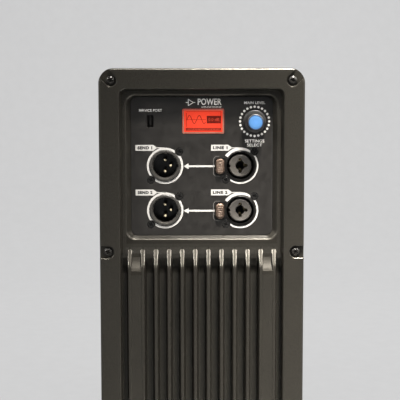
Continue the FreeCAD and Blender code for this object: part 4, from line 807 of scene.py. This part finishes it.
def rect(x0, x1, z0, z1):
    return [(x0, z0), (x1, z0), (x1, z1), (x0, z1)]


def display_frame(front, back):
    """Edge of the window around the lit picture, coloured pale red as painted glow from the backlight."""
    inset, border = 0.15, 0.75
    outer = rect(DX0 + inset, DX1 - inset, DZ0 + inset, DZ1 - inset)
    near = inset + border
    inner = rect(DX0 + near, DX1 - near, DZ0 + near, DZ1 - near)
    rails = list(zip(inner, outer))
    bm = bmesh.new()
    band(bm, rails + rails[:1], front, back)
    add_piece("display_edge_painted_glow", bm, "painted_edge_glow")


def display_wave(front, back, left, right, middle, top, bottom):
    """Nearly two periods of a wave on its axes."""
    swing, periods, step, margin, proud = 2.7, 1.9, 0.46, 0.4, 0.004
    bm = bmesh.new()
    stroke(bm, [(left, bottom), (left, top)], 0.28, front, back)
    stroke(bm, [(left, middle), (right, middle)], 0.2, front, back)
    length = right - left - 2 * margin
    count = int(length / step)
    wave = []
    for i in range(count + 1):
        t = i / count
        wave.append((left + margin + length * t, middle + swing * math.sin(2 * math.pi * periods * t)))
    stroke(bm, wave, 0.36, front - proud, back)
    add_piece("display_wave", bm, "display_dark")


def display_scale(front, back, left, right, bottom):
    """Strip along the lower edge: a dark bar with small lit marks."""
    height, margin, gap, proud = 1.7, 0.4, 0.42, 0.012
    bm = bmesh.new()
    prism(bm, rect(left, right, bottom, bottom + height), front, back)
    add_piece("display_strip", bm, "display_dark")
    bm = bmesh.new()
    x = left + 0.5
    widths = (0.5, 0.3, 0.7, 0.3, 0.5, 0.4, 0.8, 0.3, 0.5, 0.6, 0.3, 0.5, 0.7, 0.4, 0.3, 0.6, 0.5)
    for width in widths * 2:
        if x + width > right - margin:
            break
        mark = width * 0.6
        prism(bm, rect(x, x + mark, bottom + margin, bottom + height - margin), front - proud, front)
        x += mark + gap
    add_piece("display_marks", bm, "display_text")


def display_picture():
    """Frame, wave, value block and strip of marks, laid out from the window's edges."""
    front, back = GLASS_TOP - PIXEL, GLASS_TOP
    left, right, middle = PICTURE_LEFT, PICTURE_RIGHT, WAVE_MIDDLE
    display_frame(front, back)
    display_wave(front, back, left, left + WAVE_LENGTH, middle, PICTURE_TOP, PICTURE_BOTTOM + 2.6)
    bm = bmesh.new()
    prism(bm, rect(right - BLOCK_WIDTH, right, middle - BLOCK_BELOW, middle + BLOCK_ABOVE), front, back)
    line = PICTURE_TOP + 0.9
    stroke(bm, [(left, line), (right, line), (right, PICTURE_BOTTOM + 2.4)], 0.2, front, back)
    add_piece("display_block", bm, "display_dark")
    style = ("display_text", front - PIXEL, 0.0, "display_cell", PIXEL)
    lettering("display_value", "0.0 dB", right - BLOCK_WIDTH / 2, middle, 7.2, 1.9, *style)
    display_scale(front, back, left - 0.3, right + 0.1, PICTURE_BOTTOM)


display_picture()

# ------------------------------------------------------------------ knob light ring and latch marks


def light_ring():
    """Thin lit ring on the knob's front, around the cap."""
    inner, outer, thick = 4.46, 4.86, 0.05
    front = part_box("knob_body")[0].y / MM
    rails = list(zip(disc_outline(*KNOB, inner, 64), disc_outline(*KNOB, outer, 64)))
    bm = bmesh.new()
    band(bm, rails + rails[:1], front - thick, front)
    add_piece("knob_light_ring", bm, "halo", "knob")


light_ring()


# height above the tab's lower end, shift to the side, width
LATCH_MARKS = (
    (1.9, 0.0, 3.2),
    (3.3, -0.5, 1.5),
    (3.5, 0.9, 1.1),
    (4.7, 0.1, 2.7),
    (6.0, -0.7, 1.2),
    (6.2, 0.7, 1.4),
    (7.4, 0.0, 2.6),
)


def latch_ridges(number):
    """Low cast marks across the face of a latch tab, with softened edges, coloured lighter than the tab as
    painted glints.
    """
    half, proud, sunk, rounding = 0.36, 0.24, 0.3, 0.14
    low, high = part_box(f"input_{number}_latch")
    cx = (low.x + high.x) / 2 / MM
    front = low.y / MM
    bm = bmesh.new()
    for rise, shift, width in LATCH_MARKS:
        z = low.z / MM + rise
        x0, x1 = cx + shift - width / 2, cx + shift + width / 2
        prism(bm, rect(x0, x1, z - half, z + half), front - proud, front + sunk)
    piece = add_piece(f"input_{number}_latch_ridges", bm, "latch_painted_glint", f"latch_{number}")
    soft = piece.modifiers.new("edge", "BEVEL")
    soft.width = rounding * MM
    soft.segments = 2


for number in (1, 2):
    latch_ridges(number)


# ------------------------------------------------------------------ floor, light, camera


def make_floor():
    """A paper floor that bends up into a wall behind the object and on both sides of it, in metres.
    The rim holds points along the walls, each with its outward direction, and the profile the way up."""
    low = CAD_BOX[0].z
    half, back, front = 3.0, 1.6, -4.5
    corner, rise, bend, steps = 0.9, 2.4, 0.5, 12
    quarter = [math.radians(90 * i / steps) for i in range(steps + 1)]
    rim = [(1.0, 0.0, half, front)]
    rim += [(math.cos(t), math.sin(t), half - corner, back - corner) for t in quarter]
    rim += [(-math.sin(t), math.cos(t), corner - half, back - corner) for t in quarter]
    rim.append((-1.0, 0.0, -half, front))
    profile = [(corner - bend + bend * math.sin(t), low + bend - bend * math.cos(t)) for t in quarter]
    profile.append((corner, low + rise))
    bm = bmesh.new()
    rows = []
    for out, z in profile:
        row = []
        for nx, ny, x, y in rim:
            reach = out - corner if y == front else out
            row.append(bm.verts.new((x + nx * reach, y + ny * reach, z)))
        rows.append(row)
    ground = bm.faces.new(rows[0])
    for one, two in zip(rows, rows[1:]):
        for i in range(len(rim) - 1):
            bm.faces.new((one[i], one[i + 1], two[i + 1], two[i])).smooth = True
    bmesh.ops.recalc_face_normals(bm, faces=bm.faces)
    bmesh.ops.split_edges(bm, edges=ground.edges)
    mesh = bpy.data.meshes.new("studio_floor")
    bm.to_mesh(mesh)
    bm.free()
    glow = {"Emission_Color": (0.99, 0.99, 1.0), "Emission_Strength": 0.42}
    paper = surface("studio_paper", (0.14, 0.14, 0.138), (0.16, 0.16, 0.158), 60, (0.8, 0.9), **glow)
    mesh.materials.append(paper)
    floor = bpy.data.objects.new("studio_floor", mesh)
    bpy.context.scene.collection.objects.link(floor)


MIDDLE = (0.0, 0.0, 0.0)
RIB_HEADS = (0.0, 0.0, 0.06)

# name, place, aim, size, power, colour, spread
LAMPS = (
    ("key", (0.24, -0.52, 1.18), (0.14, 0.0, -0.24), 0.26, 6.3, (1.0, 0.95, 0.88), 22.0),
    ("left", (-0.75, -0.45, 0.6), RIB_HEADS, 0.2, 0.3, (1.0, 0.97, 0.92), 26.0),
    ("right", (0.75, -0.45, 0.6), RIB_HEADS, 0.2, 0.3, (1.0, 0.97, 0.92), 26.0),
    ("soft", (-0.5, -1.1, 1.1), MIDDLE, 0.9, 1.8, (0.97, 0.98, 1.0), 180.0),
    ("low", (0.5, -0.9, -0.5), MIDDLE, 0.6, 0.42, (1.0, 0.96, 0.9), 180.0),
    ("back", (0.2, 0.7, 1.3), (0.0, 1.6, 0.1), 1.3, 30.0, (1.0, 1.0, 1.0), 180.0),
)


def area_light(name, place, aim, size, power, color, spread):
    """A square studio lamp. A narrow spread makes it fall off away from the point it is aimed at."""
    data = bpy.data.lights.new(name, "AREA")
    data.shape = "SQUARE"
    data.size = size
    data.energy = power
    data.color = color
    data.spread = math.radians(spread)
    lamp = bpy.data.objects.new(name, data)
    lamp.location = place
    lamp.rotation_euler = (Vector(aim) - Vector(place)).to_track_quat("-Z", "Y").to_euler()
    bpy.context.scene.collection.objects.link(lamp)


make_floor()
for lamp in LAMPS:
    area_light(*lamp)

world = bpy.data.worlds.new("studio")
world.use_nodes = True
sky = world.node_tree.nodes["Background"]
sky.inputs["Color"].default_value = (0.9, 0.92, 0.95, 1)
sky.inputs["Strength"].default_value = 0.09
bpy.context.scene.world = world

CAMERA_PITCH, CAMERA_YAW, CAMERA_ROLL = math.radians(6.23), math.radians(0.51), math.radians(-0.06)
CAMERA_AIM = (-1.24, 93.0)
CAMERA_DISTANCE = 0.8
CAMERA_LENS = 108.6
CAMERA_SENSOR = 36.0


def make_camera():
    """The camera looks at a point on the flange's front plane, slightly from above."""
    target = Vector((CAMERA_AIM[0] * MM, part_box("heatsink_chassis")[0].y, CAMERA_AIM[1] * MM))
    forward = Vector(
        (
            math.sin(CAMERA_YAW) * math.cos(CAMERA_PITCH),
            math.cos(CAMERA_YAW) * math.cos(CAMERA_PITCH),
            -math.sin(CAMERA_PITCH),
        )
    )
    right = Vector((math.cos(CAMERA_YAW), -math.sin(CAMERA_YAW), 0))
    up = right.cross(forward)
    c, s = math.cos(CAMERA_ROLL), math.sin(CAMERA_ROLL)
    right, up = right * c + up * s, up * c - right * s
    data = bpy.data.cameras.new("camera")
    data.sensor_width = CAMERA_SENSOR
    data.lens = CAMERA_LENS
    camera = bpy.data.objects.new("camera", data)
    axes = Matrix((right, up, -forward)).transposed().to_4x4()
    camera.matrix_world = Matrix.Translation(target - forward * CAMERA_DISTANCE) @ axes
    bpy.context.scene.collection.objects.link(camera)
    bpy.context.scene.camera = camera


make_camera()
bpy.context.scene.view_settings.view_transform = "Standard"
